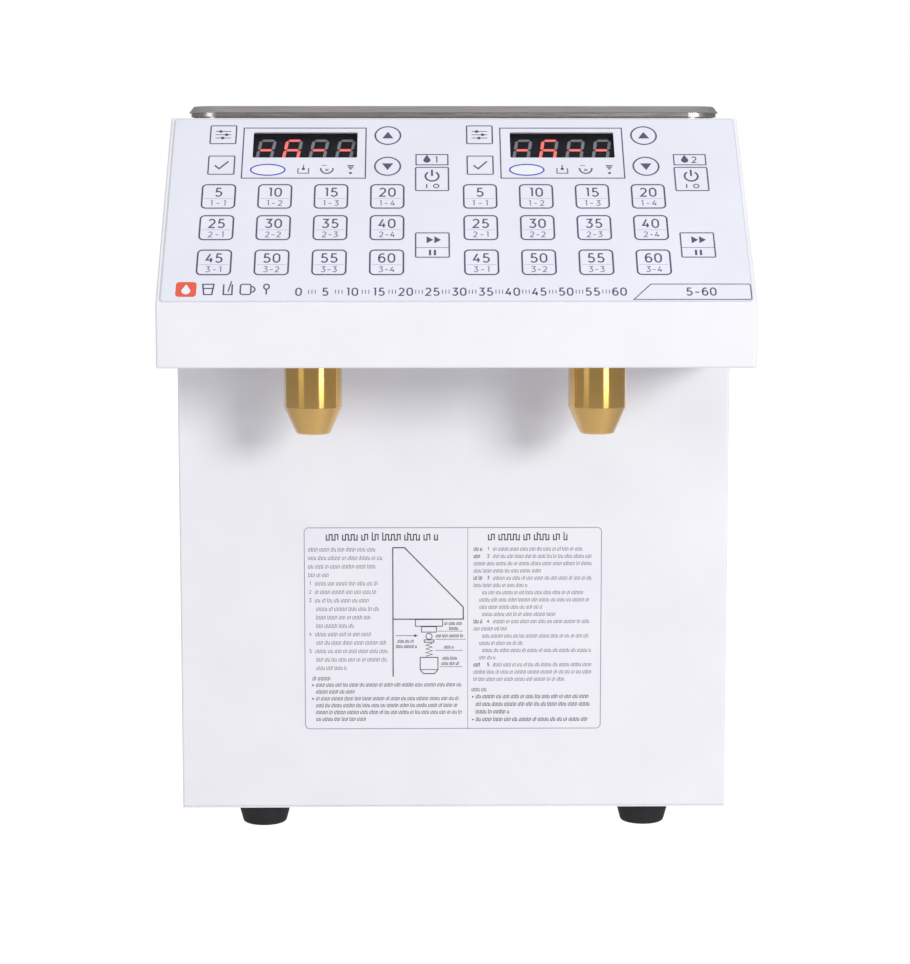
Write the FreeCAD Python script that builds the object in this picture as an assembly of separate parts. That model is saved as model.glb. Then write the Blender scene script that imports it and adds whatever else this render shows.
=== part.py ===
import FreeCAD, Part
import math
import os

os.makedirs("parts", exist_ok=True)

V = FreeCAD.Vector

# Twin counter-top syrup dispenser. Frame: X to the right, front faces -Y, Z up.
# The origin is under the middle of the overall box, on the face that the feet stand on.

# Casing
casing_width = 365.0
body_depth = 250.0
head_overhang = 132.0
head_clear_height = 305.0
lip_height = 39.2
slope_rise = 114.0
slope_angle = 45.0
sheet = 1.2
base_sheet = 1.5
side_bend = 1.4
fold_bend = 1.4
return_flange = 14.0
top_flange = 20.0
seam_flange = 12.0
upstand = 20.0
sheet_fit = 0.3
seam_groove_height = 0.5
seam_groove_depth = 0.9
same_place_share = 0.01
cut_overrun = 5.0

# Pan-head screws, all alike
screw_head_radius = 3.8
screw_head_height = 1.5
screw_radius = 2.0
screw_length = 12.0
screw_hole_fit = 0.1
screw_recess_length = 4.4
screw_recess_width = 1.0
screw_recess_depth = 0.9
screw_dome_radius_share = 0.72
screw_dome_height_share = 0.8
cheek_screw_rise = 13.9
cheek_screw_setback = 18.0
rear_screw_count = 3
rear_screw_end = 45.0

# Feet
foot_height = 15.0
foot_top_radius = 18.6
foot_bottom_radius = 14.5
foot_edge = 2.0
foot_recess_radius = 6.5
foot_recess_depth = 7.0
foot_inset_x = 53.6
foot_inset_y = 24.0

# Rear panel
vent_length = 44.0
vent_height = 3.0
vent_pitch = 9.0
vent_rows = 8
vent_centre_x = 62.0
vent_base = 90.0
vent_corner_share = 0.45
inlet_inset_x = 62.5
inlet_rise = 46.0
inlet_bezel_width = 31.5
inlet_bezel_height = 24.5
inlet_bezel = 2.0
inlet_body_width = 27.2
inlet_body_height = 19.6
inlet_body_depth = 24.0
inlet_fit = 0.2
inlet_socket_width = 24.0
inlet_socket_height = 16.2
inlet_socket_depth = 17.0
inlet_socket_corner = 4.0
inlet_edge = 1.5
pin_width = 4.0
pin_thickness = 2.0
pin_length = 14.0
pin_spacing = 7.0
pin_offset = 2.0
clip_length = 10.0
clip_height = 8.0
clip_proud = 0.9

# Tank and lid
tank_depth = 190.0
tank_wall = 1.2
partition = 1.6
rim_width = 343.5
rim_front_gap = 5.5
rim_rear_gap = 10.5
rim_corner = 20.0
rim_step_width = 6.0
rim_step_height = 2.6
rim_step_lap = 2.0
well_corner = 12.0
well_foot_corner = 10.0
well_side_gap = 0.7
lid_height = 4.2
lid_wall = 1.0
lid_overhang = 1.5
lid_slant = 3.3
lid_edge = 2.0
lid_hem = 5.0
lid_panel_inset = 26.0
lid_panel_depth = 1.5
lid_panel_corner = 14.0
lid_ridge_drop = 0.8
lid_fit = 0.6

# Keypad film, in the slope's own plane: x across, v up the slope from its lower fold
film_width = 359.7
film_shift = 0.25
film_start = 1.0
film_end = 159.4
film_corner = 2.2
film_thickness = 1.0
key_pocket = 0.75
key_thickness = 0.4
key_gap = 0.15
bank_offset = 82.0
bank_shift = 0.4
dose_key = 21.4
dose_corner = 3.2
dose_pitch = 35.25
dose_column = -66.9
dose_row_upper = 89.75
dose_row_middle = 62.65
dose_row_lower = 33.25
small_key = 17.0
small_corner = 1.0
small_column = -66.45
set_row = 144.9
save_row = 117.4
round_key = 17.0
up_row = 144.2
down_row = 116.4
mode_column = 67.0
mode_corner = 1.2
power_row = 105.1
run_row = 47.8
window_width = 66.5
window_height = 23.2
window_corner = 1.0
window_column = -13.8
window_row = 135.8
window_margin = 1.0

# Keypad boards and power board
board_width = 156.0
board_height = 140.0
board_centre_row = 80.0
board_thickness = 1.6
board_depth = 14.0
post_radius = 3.0
post_inset = 8.0
display_width = 67.4
display_height = 27.6
display_recess = 3.4
power_board_width = 110.0
power_board_depth = 76.0
power_board_y = 128.0
power_post_height = 8.0
transformer_width = 46.0
transformer_depth = 38.0
transformer_height = 34.0
capacitor_radius = 9.0
capacitor_height = 26.0
capacitor_spread_share = 1.3
heatsink_length = 60.0
heatsink_thickness = 4.0
heatsink_height = 28.0

# Nozzles
nozzle_x = 90.1
nozzle_setback = 64.0
neck_radius = 12.0
neck_drop = 20.0
flange_radius = 20.0
flange_height = 4.0
boss_radius = 9.0
boss_height = 8.0
eye_bore_radius = 4.4
lock_nut_flats = 30.0
cap_radius = 18.5
cap_tip_radius = 10.75
cap_top_drop = 1.6
cap_cylinder_drop = 28.7
cap_drop = 46.1
cap_edge = 0.9
chamber_radius = 8.0
chamber_floor_drop = 37.0
outlet_radius = 4.0
thread_fit = 0.08
plug_radius = 6.6
plug_height = 2.5
plug_stem_radius = 2.5
plug_stem = 6.5
plug_shank_share = 0.8
eye_radius = 3.6
eye_hole_radius = 1.6
eye_thickness = 2.6
eye_rise = 5.0
spring_wire = 0.9
spring_radius = 4.7
spring_turns = 6
spring_end_gap = 0.3

# Hoses and their spigots
hose_bore = 8.0
hose_wall = 2.0
hose_bend = 25.0
hose_clearance = 2.0
hose_rise = 2.0
spigot_fit = 0.05
spigot_length = 14.0
spigot_wall = 1.2
spigot_shoulder = 2.0
spigot_shoulder_radius = 7.0

# Gear pumps
motor_radius = 20.0
motor_height = 72.0
motor_foot_radius = 24.0
motor_foot_height = 4.0
motor_edge = 2.0
pump_width = 60.0
pump_depth = 36.0
pump_corner = 6.0
pump_floor = 5.0
pump_cover = 5.0
pump_cap_radius = 3.0
pump_cap_height = 3.0
pump_cap_inset = 6.0
gear_module = 2.0
gear_teeth = 10
gear_width = 12.0
gear_pressure_angle = 20.0
gear_addendum = 1.5
gear_dedendum = 2.1
gear_backlash = 0.4
gear_side_gap = 0.3
gear_tip_gap = 0.3
shaft_radius = 3.0
shaft_fit = 0.05
shaft_end = 3.5
shaft_end_gap = 0.3
drive_shaft_length = 16.0

# Places worked out from the sizes above
base_z = foot_height
shell_z = base_z + base_sheet
lip_z = shell_z + head_clear_height
fold_z = lip_z + lip_height
top_z = fold_z + slope_rise
half_width = casing_width / 2
inlet_x = half_width - inlet_inset_x
rear_proud = max(screw_head_height, inlet_bezel)
lip_y = -(head_overhang + body_depth + rear_proud) / 2
body_y = lip_y + head_overhang
rear_y = body_y + body_depth
slope_top_y = lip_y + slope_rise / math.tan(math.radians(slope_angle))
hose_radius = hose_bore / 2 + hose_wall
riser_y = body_y + sheet + hose_clearance + hose_radius
well_front_y = riser_y + hose_radius + hose_clearance
well_rear_y = rear_y - top_flange - well_side_gap
spigot_reach = pump_depth / 2 + spigot_shoulder + spigot_length
pump_y = riser_y + hose_bend + spigot_reach
tank_outlet_y = pump_y + spigot_reach + hose_bend
pump_z = shell_z + motor_height
cavity_height = gear_width + 2 * gear_side_gap
port_z = pump_z + pump_floor + cavity_height / 2
pitch_radius = gear_module * gear_teeth / 2
nozzle_y = lip_y + nozzle_setback
pan_top_z = lip_z + 2 * sheet
nozzle_shoulder_z = pan_top_z + flange_height + boss_height
spigot_radius = hose_bore / 2 - spigot_fit
tank_floor_z = top_z - tank_depth
rim_front_y = slope_top_y + rim_front_gap
rim_rear_y = rear_y - rim_rear_gap
rim_length = rim_rear_y - rim_front_y
rim_centre_y = (rim_front_y + rim_rear_y) / 2
rim_top_z = top_z + tank_wall + rim_step_height


def export(name, *solids):
    """Write one node, as a single solid or as several separate ones."""
    shape = solids[0] if len(solids) == 1 else Part.makeCompound(list(solids))
    shape.exportStep("parts/" + name + ".step")


def box(x0, x1, y0, y1, z0, z1):
    """Box between two corners."""
    return Part.makeBox(x1 - x0, y1 - y0, z1 - z0, V(x0, y0, z0))


def rounded_plate(width, length, height, corner, x=0, y=0, z=0):
    """Upright plate centred on x, y with its lower face at z and its upright edges rounded."""
    w, d, r = width / 2, length / 2, corner
    k = r * (1 - math.sqrt(0.5))
    ring = [
        Part.LineSegment(V(r - w, -d), V(w - r, -d)),
        Part.Arc(V(w - r, -d), V(w - k, k - d), V(w, r - d)),
        Part.LineSegment(V(w, r - d), V(w, d - r)),
        Part.Arc(V(w, d - r), V(w - k, d - k), V(w - r, d)),
        Part.LineSegment(V(w - r, d), V(r - w, d)),
        Part.Arc(V(r - w, d), V(k - w, d - k), V(-w, d - r)),
        Part.LineSegment(V(-w, d - r), V(-w, r - d)),
        Part.Arc(V(-w, r - d), V(k - w, k - d), V(r - w, -d)),
    ]
    wire = Part.Wire([piece.toShape() for piece in ring])
    plate = Part.Face(wire).extrude(V(0, 0, height))
    plate.translate(V(x, y, z))
    return plate


def side_prism(outline, x0, x1):
    """Prism across the part, from an outline of (y, z) points."""
    points = [V(x0, y, z) for y, z in outline]
    wire = Part.makePolygon(points + points[:1])
    return Part.Face(wire).extrude(V(x1 - x0, 0, 0))


def inset(outline, distance):
    """Convex outline of (y, z) points moved inwards by one distance."""
    count = len(outline)
    middle_y = sum(p[0] for p in outline) / count
    middle_z = sum(p[1] for p in outline) / count
    lines = []
    for i, (y0, z0) in enumerate(outline):
        y1, z1 = outline[(i + 1) % count]
        length = math.hypot(y1 - y0, z1 - z0)
        ny, nz = (z0 - z1) / length, (y1 - y0) / length
        if ny * (middle_y - y0) + nz * (middle_z - z0) < 0:
            ny, nz = -ny, -nz
        lines.append((ny, nz, ny * y0 + nz * z0 + distance))
    points = []
    for i in range(count):
        a0, b0, c0 = lines[i - 1]
        a1, b1, c1 = lines[i]
        det = a0 * b1 - a1 * b0
        points.append(((c0 * b1 - c1 * b0) / det, (a0 * c1 - a1 * c0) / det))
    return points


def turned(outline, x, y):
    """Solid turned about the upright line at x, y from (radius, z) points."""
    points = [V(x + r, y, z) for r, z in outline]
    face = Part.Face(Part.makePolygon(points + points[:1]))
    return face.revolve(V(x, y, 0), V(0, 0, 1), 360)


def rod(radius, start, end):
    """Round bar between two points."""
    line = end - start
    return Part.makeCylinder(radius, line.Length, start, line)


def round_edges(solid, radius, chosen):
    """Fillet the straight edges whose two end points pass the chosen test."""
    straight = [e for e in solid.Edges if len(e.Vertexes) == 2]
    edges = [e for e in straight if chosen(e.Vertexes[0].Point, e.Vertexes[1].Point)]
    return solid.makeFillet(radius, edges)


def near(a, b):
    """True where two coordinates are the same to a small share of the sheet."""
    return abs(a - b) < sheet * same_place_share


def edges_at(solid, z):
    """Edges of a solid that lie at one height."""
    return [e for e in solid.Edges if near(e.BoundBox.ZMin, z) and near(e.BoundBox.ZMax, z)]


def front_corner(a, b):
    """True for an upright edge at the body's front."""
    return near(a.y, body_y) and near(b.y, body_y) and near(a.x, b.x)


def on_slope(solid):
    """Carry a solid from the slope's own frame (x, v, outwards) to the part's frame."""
    solid.rotate(V(0, 0, 0), V(1, 0, 0), slope_angle)
    solid.translate(V(0, lip_y, fold_z))
    return solid


def screw(place, outwards):
    """Pan-head screw whose head rests at place and points outwards."""
    rise, span = screw_head_height, screw_head_radius
    shoulder = V(span * screw_dome_radius_share, 0, rise * screw_dome_height_share)
    dome = Part.Arc(V(span, 0, rise / 3), shoulder, V(0, 0, rise)).toShape()
    rim = Part.makePolygon([V(0, 0, rise), V(0, 0, 0), V(span, 0, 0), V(span, 0, rise / 3)])
    head = Part.Face(Part.Wire([dome] + rim.Edges)).revolve(V(0, 0, 0), V(0, 0, 1), 360)
    body = head.fuse(rod(screw_radius, V(0, 0, rise / 3), V(0, 0, -screw_length)))
    half, wide = screw_recess_length / 2, screw_recess_width / 2
    for a, b in ((half, wide), (wide, half)):
        body = body.cut(box(-a, a, -b, b, rise - screw_recess_depth, rise + cut_overrun))
    body.Placement = FreeCAD.Placement(place, FreeCAD.Rotation(V(0, 0, 1), outwards))
    return body


def screw_hole(place, outwards):
    """Clearance hole for a screw at the same place."""
    hole = screw_radius + screw_hole_fit
    return rod(hole, place + outwards * cut_overrun, place - outwards * screw_length)


def round_path(points, radius):
    """Wire of straight runs joined by tangent arcs of one radius."""
    edges = []
    start = points[0]
    for before, corner, after in zip(points, points[1:], points[2:]):
        back = (before - corner).normalize()
        ahead = (after - corner).normalize()
        half = back.getAngle(ahead) / 2
        trim = radius / math.tan(half)
        a = corner + back * trim
        b = corner + ahead * trim
        inwards = (back + ahead).normalize()
        middle = corner + inwards * (radius / math.sin(half) - radius)
        edges.append(Part.LineSegment(start, a).toShape())
        edges.append(Part.Arc(a, middle, b).toShape())
        start = b
    edges.append(Part.LineSegment(start, points[-1]).toShape())
    return Part.Wire(edges)


def swept(path, radius):
    """Round bar along a wire."""
    first = path.OrderedEdges[0]
    start = first.valueAt(first.FirstParameter)
    ring = Part.Wire([Part.makeCircle(radius, start, first.tangentAt(first.FirstParameter))])
    return path.makePipeShell([ring], True, False)


# Screw places: head seat and outward direction
cheek_screw_y, cheek_screw_z = lip_y + cheek_screw_setback, lip_z + cheek_screw_rise
cheek_screws = [(V(side * half_width, cheek_screw_y, cheek_screw_z), V(side, 0, 0)) for side in (-1, 1)]
rear_screw_x = half_width - sheet - seam_flange / 2
rear_screw_step = (top_z - shell_z - 2 * rear_screw_end) / (rear_screw_count - 1)
rear_screws = [
    (V(side * rear_screw_x, rear_y, shell_z + rear_screw_end + row * rear_screw_step), V(0, 1, 0))
    for side in (-1, 1)
    for row in range(rear_screw_count)
]
foot_places = [
    (side * (half_width - foot_inset_x), y)
    for side in (-1, 1)
    for y in (body_y + foot_inset_y, rear_y - foot_inset_y)
]
foot_screws = [(V(x, y, foot_recess_depth), V(0, 0, -1)) for x, y in foot_places]


def drilled(solid, places):
    """Solid with the clearance hole of each screw."""
    for place, outwards in places:
        solid = solid.cut(screw_hole(place, outwards))
    return solid


def body_shell():
    """Front and both sides of the body, folded from one sheet, with flanges inwards."""
    w, t = half_width, sheet
    outer = box(-w, w, body_y, rear_y - t, shell_z, top_z)
    outer = round_edges(outer, side_bend, front_corner)
    outer = round_edges(outer, side_bend, lambda a, b: near(a.z, top_z) and near(b.z, top_z)
                        and near(abs(a.x), w) and near(a.x, b.x))
    shell = outer.cut(box(t - w, w - t, body_y + t, rear_y, shell_z - cut_overrun, top_z - t))
    hatch = w - top_flange
    front_top = lip_z + t + upstand
    shell = shell.cut(box(-hatch, hatch, body_y - cut_overrun, rear_y, front_top, top_z + cut_overrun))
    f = seam_flange
    for side in (-1, 1):
        x0, x1 = sorted((side * (w - t), side * (w - t - f)))
        shell = shell.fuse(box(x0, x1, rear_y - 2 * t, rear_y - t, shell_z, top_z - t))
        shell = shell.fuse(box(x0, x1, body_y + t, rear_y - 2 * t, shell_z, shell_z + t))
    shell = shell.fuse(box(t - w, w - t, body_y + t, body_y + t + f, shell_z, shell_z + t))
    return drilled(shell.removeSplitter(), rear_screws)


def chassis():
    """Base plate and rear panel, one folded sheet."""
    w, t = half_width, sheet
    plate = box(-w, w, body_y, rear_y, base_z, shell_z)
    plate = round_edges(plate, side_bend, front_corner)
    low, high, far, d = shell_z - seam_groove_height, shell_z + cut_overrun, cut_overrun, seam_groove_depth
    groove = box(-w - far, w + far, body_y - far, rear_y - t, low, high)
    plate = plate.cut(groove.cut(box(d - w, w - d, body_y + d, rear_y, low, high)))
    panel = box(-w, w, rear_y - t, rear_y, base_z, top_z)
    flange_x = w - top_flange - sheet_fit
    flange = box(-flange_x, flange_x, rear_y - top_flange, rear_y, top_z - t, top_z)
    sheet_form = plate.fuse(panel).fuse(flange).removeSplitter()
    sheet_form = round_edges(sheet_form, side_bend / 2, lambda a, b: near(a.y, rear_y) and near(b.y, rear_y)
                             and near(a.z, base_z) and near(b.z, base_z))
    inlet_z = shell_z + inlet_rise
    cut_w, cut_h = inlet_body_width / 2 + inlet_fit, inlet_body_height / 2 + inlet_fit
    sheet_form = sheet_form.cut(box(inlet_x - cut_w, inlet_x + cut_w, rear_y - cut_overrun,
                                    rear_y + cut_overrun, inlet_z - cut_h, inlet_z + cut_h))
    for side in (-1, 1):
        for row in range(vent_rows):
            slot = rounded_plate(vent_length, vent_height, 2 * cut_overrun, vent_height * vent_corner_share)
            slot.rotate(V(0, 0, 0), V(1, 0, 0), 90)
            slot_z = shell_z + vent_base + row * vent_pitch
            slot.translate(V(side * vent_centre_x, rear_y + cut_overrun, slot_z))
            sheet_form = sheet_form.cut(slot)
    return drilled(sheet_form, rear_screws + foot_screws)


head_outline = [(lip_y, lip_z), (lip_y, fold_z), (slope_top_y, top_z), (body_y, top_z), (body_y, lip_z)]


def window_hole(bank, margin):
    """Window opening for one bank, through the slope."""
    width, height = window_width + 2 * margin, window_height + 2 * margin
    hole = rounded_plate(width, height, 2 * cut_overrun, window_corner, bank + window_column, window_row,
                         -cut_overrun)
    return on_slope(hole)


def head_cover():
    """Lip, slope, top strip and cheeks of the head, with flanges inwards."""
    w, t = half_width, sheet
    outer = side_prism(head_outline, -w, w)
    folds = ((lip_y, lip_z), (lip_y, fold_z), (slope_top_y, top_z))
    outer = round_edges(outer, fold_bend, lambda a, b: near(a.y, b.y) and near(a.z, b.z)
                        and any(near(a.y, y) and near(a.z, z) for y, z in folds))
    rim = [e for e in outer.Edges if all(near(abs(p.Point.x), w) for p in e.Vertexes)
           and not all(near(p.Point.y, body_y) for p in e.Vertexes)]
    rim = [e for e in rim if near(e.Vertexes[0].Point.x, e.Vertexes[1].Point.x)]
    outer = outer.makeFillet(side_bend, rim)
    cover = outer.cut(side_prism(inset(head_outline, t), t - w, w - t))
    r, hatch = return_flange, w - top_flange
    below, behind = lip_z - cut_overrun, body_y + cut_overrun
    cover = cover.cut(box(r - w, w - r, lip_y + r, behind, below, lip_z + 2 * t))
    cover = cover.cut(box(-hatch, hatch, body_y - 2 * t, behind, below, top_z - t))
    for bank in banks:
        cover = cover.cut(window_hole(bank, window_margin))
    return drilled(cover, cheek_screws)


def head_underside():
    """Panel under the head, with turned-up edges; it carries both nozzles."""
    w, t = half_width - sheet, sheet
    z0, z1 = lip_z + t, pan_top_z
    front, rear = lip_y + t, body_y - t
    tongue = half_width - top_flange - sheet_fit
    pan = box(-w, w, front, rear, z0, z1)
    pan = pan.fuse(box(-tongue, tongue, rear, body_y, z0, z0 + upstand))
    pan = pan.fuse(box(-w, w, front, front + t, z0, z0 + upstand))
    for side in (-1, 1):
        x0, x1 = sorted((side * w, side * (w - t)))
        pan = pan.fuse(box(x0, x1, front, rear, z0, z0 + upstand))
        x = side * nozzle_x
        pan = pan.cut(rod(neck_radius + sheet_fit, V(x, nozzle_y, z0 - cut_overrun), V(x, nozzle_y, z1 + t)))
    return drilled(pan.removeSplitter(), cheek_screws)


def spigot(start, outwards):
    """Hose spigot with a shoulder, bored through, standing on start."""
    shoulder = rod(spigot_shoulder_radius, start, start + outwards * spigot_shoulder)
    tip = start + outwards * (spigot_shoulder + spigot_length)
    return shoulder.fuse(rod(spigot_radius, start, tip))


def tank():
    """Two-compartment tank with its rim and two bottom outlets."""
    well_x = half_width - top_flange - well_side_gap
    length = well_rear_y - well_front_y
    centre_y = (well_rear_y + well_front_y) / 2
    outer = rounded_plate(2 * well_x, length, tank_depth + tank_wall, well_corner + tank_wall, 0, centre_y,
                          tank_floor_z)
    outer = outer.makeFillet(well_foot_corner + tank_wall, edges_at(outer, tank_floor_z))
    step_in = rim_step_width
    lap_in = step_in - rim_step_lap
    ring_z = top_z + tank_wall
    plate = rounded_plate(rim_width - 2 * lap_in, rim_length - 2 * lap_in, tank_wall, rim_corner - lap_in,
                          0, rim_centre_y, top_z)
    ring = rounded_plate(rim_width, rim_length, rim_step_height, rim_corner, 0, rim_centre_y, ring_z)
    ring_hole = rounded_plate(rim_width - 2 * step_in, rim_length - 2 * step_in, rim_step_height + cut_overrun,
                              rim_corner - step_in, 0, rim_centre_y, ring_z)
    body = outer.fuse(plate).fuse(ring.cut(ring_hole))
    wide = (2 * well_x - 2 * tank_wall - partition) / 2
    middle = (wide + partition) / 2
    inner_z = tank_floor_z + tank_wall
    for side in (-1, 1):
        cavity = rounded_plate(wide, length - 2 * tank_wall, tank_depth + cut_overrun, well_corner,
                               side * middle, centre_y, inner_z)
        body = body.cut(cavity.makeFillet(well_foot_corner, edges_at(cavity, inner_z)))
        mouth = V(side * nozzle_x, tank_outlet_y, tank_floor_z)
        body = body.fuse(spigot(mouth, V(0, 0, -1)))
        bore = spigot_radius - spigot_wall
        low = mouth - V(0, 0, spigot_shoulder + spigot_length + cut_overrun)
        body = body.cut(rod(bore, low, mouth + V(0, 0, tank_wall + cut_overrun)))
    return body.removeSplitter()


def lofted_lid(width, length, corner, slant, z0, z1):
    """Frustum with rounded upright edges, narrower at the top by the slant on each side."""
    wires = []
    for step_in, z in ((0, z0), (slant, z1)):
        plate = rounded_plate(width - 2 * step_in, length - 2 * step_in, lid_wall, corner - step_in, 0,
                              rim_centre_y, z)
        wires.append([f for f in plate.Faces if near(f.BoundBox.ZMax, z)][0].OuterWire)
    return Part.makeLoft(wires, True, True)


def tank_lid():
    """Pressed lid over both compartments, with a hem, a sunk middle panel and a locating ridge."""
    p, q, s = lid_overhang, lid_wall, lid_slant
    width, length, corner = rim_width + 2 * p, rim_length + 2 * p, rim_corner + p
    top = rim_top_z + lid_height
    outer = lofted_lid(width, length, corner, s, rim_top_z, top)
    outer = outer.makeFillet(lid_edge, edges_at(outer, top))
    panel_w, panel_l = width - 2 * lid_panel_inset, length - 2 * lid_panel_inset
    outer = outer.cut(rounded_plate(panel_w, panel_l, lid_panel_depth + cut_overrun, lid_panel_corner, 0,
                                    rim_centre_y, top - lid_panel_depth))
    under = top - q
    low_in = q * (math.hypot(lid_height, s) + s) / lid_height
    hollow_slant = s * (lid_height - 2 * q) / lid_height
    hollow = lofted_lid(width - 2 * low_in, length - 2 * low_in, corner - low_in, hollow_slant, rim_top_z + q,
                        under)
    hollow = hollow.makeFillet(lid_edge - q, edges_at(hollow, under))
    sunk = rounded_plate(panel_w + 2 * q, panel_l + 2 * q, lid_panel_depth + cut_overrun,
                         lid_panel_corner + q, 0, rim_centre_y, top - lid_panel_depth - q)
    mouth = rounded_plate(width - 2 * lid_hem, length - 2 * lid_hem, 2 * q, corner - lid_hem, 0, rim_centre_y,
                          rim_top_z - q / 2)
    lid = outer.cut(hollow.cut(sunk)).cut(mouth)
    step = rim_step_width + lid_fit
    ridge_w, ridge_l, ridge_r = rim_width - 2 * step, rim_length - 2 * step, rim_corner - step
    ridge_low, ridge_high = rim_top_z - lid_ridge_drop, top - q / 2
    ridge = rounded_plate(ridge_w, ridge_l, ridge_high - ridge_low, ridge_r, 0, rim_centre_y, ridge_low)
    ridge = ridge.cut(rounded_plate(ridge_w - 2 * q, ridge_l - 2 * q, lid_height + cut_overrun, ridge_r - q,
                                    0, rim_centre_y, ridge_low - q))
    return lid.fuse(ridge).removeSplitter()


# Keypad: key shapes in the slope's plane, for one bank measured from its middle
banks = [bank_shift - bank_offset, bank_shift + bank_offset]
side_names = ["left", "right"]


def square_key(width, corner):
    """Key blank maker for a rounded square."""
    return lambda extra, height: rounded_plate(width + 2 * extra, width + 2 * extra, height, corner + extra)


def disc_key(width):
    """Key blank maker for a disc."""
    return lambda extra, height: rod(width / 2 + extra, V(0, 0, 0), V(0, 0, height))


def bank_keys():
    """Name, centre and blank maker of each key of one bank."""
    keys = []
    for row, v in enumerate((dose_row_upper, dose_row_middle, dose_row_lower)):
        for column in range(4):
            amount = 5 * (4 * row + column + 1)
            x = dose_column + column * dose_pitch
            keys.append(("dose_%02d" % amount, x, v, square_key(dose_key, dose_corner)))
    arrow_x = dose_column + 3 * dose_pitch
    keys.append(("set", small_column, set_row, square_key(small_key, small_corner)))
    keys.append(("save", small_column, save_row, square_key(small_key, small_corner)))
    keys.append(("up", arrow_x, up_row, disc_key(round_key)))
    keys.append(("down", arrow_x, down_row, disc_key(round_key)))
    keys.append(("power", mode_column, power_row, square_key(dose_key, mode_corner)))
    keys.append(("run", mode_column, run_row, square_key(dose_key, mode_corner)))
    return keys


def keypad_overlay():
    """Film over the slope, with a shallow pocket for each key and a window for each display."""
    length = film_end - film_start
    middle = (film_end + film_start) / 2
    film = rounded_plate(film_width, length, film_thickness, film_corner, film_shift, middle)
    for bank in banks:
        for name, x, v, blank in bank_keys():
            pocket = blank(key_gap, key_pocket + cut_overrun)
            pocket.translate(V(bank + x, v, film_thickness - key_pocket))
            film = film.cut(pocket)
        hole = rounded_plate(window_width, window_height, film_thickness + 2 * cut_overrun, window_corner,
                             bank + window_column, window_row, -cut_overrun)
        film = film.cut(hole)
    return on_slope(film)


def key_solid(bank, x, v, blank):
    """One key, its top face flush with the film."""
    key = blank(0, key_thickness)
    key.translate(V(bank + x, v, film_thickness - key_thickness))
    return on_slope(key)


def keypad_board(bank):
    """Keypad board of one bank with its display block, hung from the slope on four posts."""
    half_w, half_h = board_width / 2, board_height / 2
    centre_x = bank
    board = box(centre_x - half_w, centre_x + half_w, board_centre_row - half_h, board_centre_row + half_h,
                -board_depth - board_thickness, -board_depth)
    dx, dv = display_width / 2, display_height / 2
    window_x = bank + window_column
    board = board.fuse(box(window_x - dx, window_x + dx, window_row - dv, window_row + dv, -board_depth,
                           -display_recess))
    for sx in (-1, 1):
        for v in (board_centre_row - half_h + post_inset, save_row - small_key):
            x = centre_x + sx * (half_w - post_inset)
            board = board.fuse(rod(post_radius, V(x, v, -board_depth), V(x, v, -sheet)))
    return on_slope(board.removeSplitter())


def power_board():
    """Power board on four posts, with its transformer, capacitors and heat sink."""
    w, d = power_board_width / 2, power_board_depth / 2
    z = shell_z + power_post_height
    top = z + board_thickness
    board = box(-w, w, power_board_y - d, power_board_y + d, z, top)
    for sx in (-1, 1):
        for sy in (-1, 1):
            x, y = sx * (w - post_inset), power_board_y + sy * (d - post_inset)
            board = board.fuse(rod(post_radius, V(x, y, shell_z), V(x, y, z)))
    tx = -w + transformer_width / 2 + post_inset
    board = board.fuse(box(tx - transformer_width / 2, tx + transformer_width / 2,
                           power_board_y - transformer_depth / 2, power_board_y + transformer_depth / 2,
                           top, top + transformer_height))
    cx = tx + transformer_width / 2 + post_inset + capacitor_radius
    for sy in (-1, 1):
        foot = V(cx, power_board_y + sy * capacitor_radius * capacitor_spread_share, top)
        board = board.fuse(rod(capacitor_radius, foot, foot + V(0, 0, capacitor_height)))
    hx = w - post_inset
    board = board.fuse(box(hx - heatsink_thickness, hx, power_board_y - heatsink_length / 2,
                           power_board_y + heatsink_length / 2, top, top + heatsink_height))
    return board.removeSplitter()


def nozzle_body(side):
    """Threaded body through the head's underside, with a spigot on top and the valve seat below."""
    x, y = side * nozzle_x, nozzle_y
    seat_z = lip_z - neck_drop
    flange_z = pan_top_z
    outline = [
        (0, seat_z),
        (neck_radius, seat_z),
        (neck_radius, flange_z),
        (flange_radius, flange_z),
        (flange_radius, flange_z + flange_height),
        (boss_radius, flange_z + flange_height),
        (boss_radius, nozzle_shoulder_z),
        (spigot_radius, nozzle_shoulder_z),
        (spigot_radius, nozzle_shoulder_z + spigot_length),
        (0, nozzle_shoulder_z + spigot_length),
    ]
    body = turned(outline, x, y)
    bore = spigot_radius - spigot_wall
    below = V(x, y, seat_z - cut_overrun)
    body = body.cut(rod(bore, below, V(x, y, nozzle_shoulder_z + spigot_length + cut_overrun)))
    return body.cut(rod(eye_bore_radius, below, V(x, y, seat_z + eye_rise + 2 * eye_radius)))


def lock_nut(side):
    """Thin hexagon nut that clamps the nozzle body to the panel from below."""
    x, y = side * nozzle_x, nozzle_y
    low, high = lip_z - cap_top_drop + 2 * sheet_fit, lip_z + sheet
    corner = lock_nut_flats / math.sqrt(3)
    turns = [math.radians(60 * i) for i in range(6)]
    points = [V(x + corner * math.cos(a), y + corner * math.sin(a), low) for a in turns]
    nut = Part.Face(Part.makePolygon(points + points[:1])).extrude(V(0, 0, high - low))
    return nut.cut(rod(neck_radius + thread_fit, V(x, y, low - cut_overrun), V(x, y, high + cut_overrun)))


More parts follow.
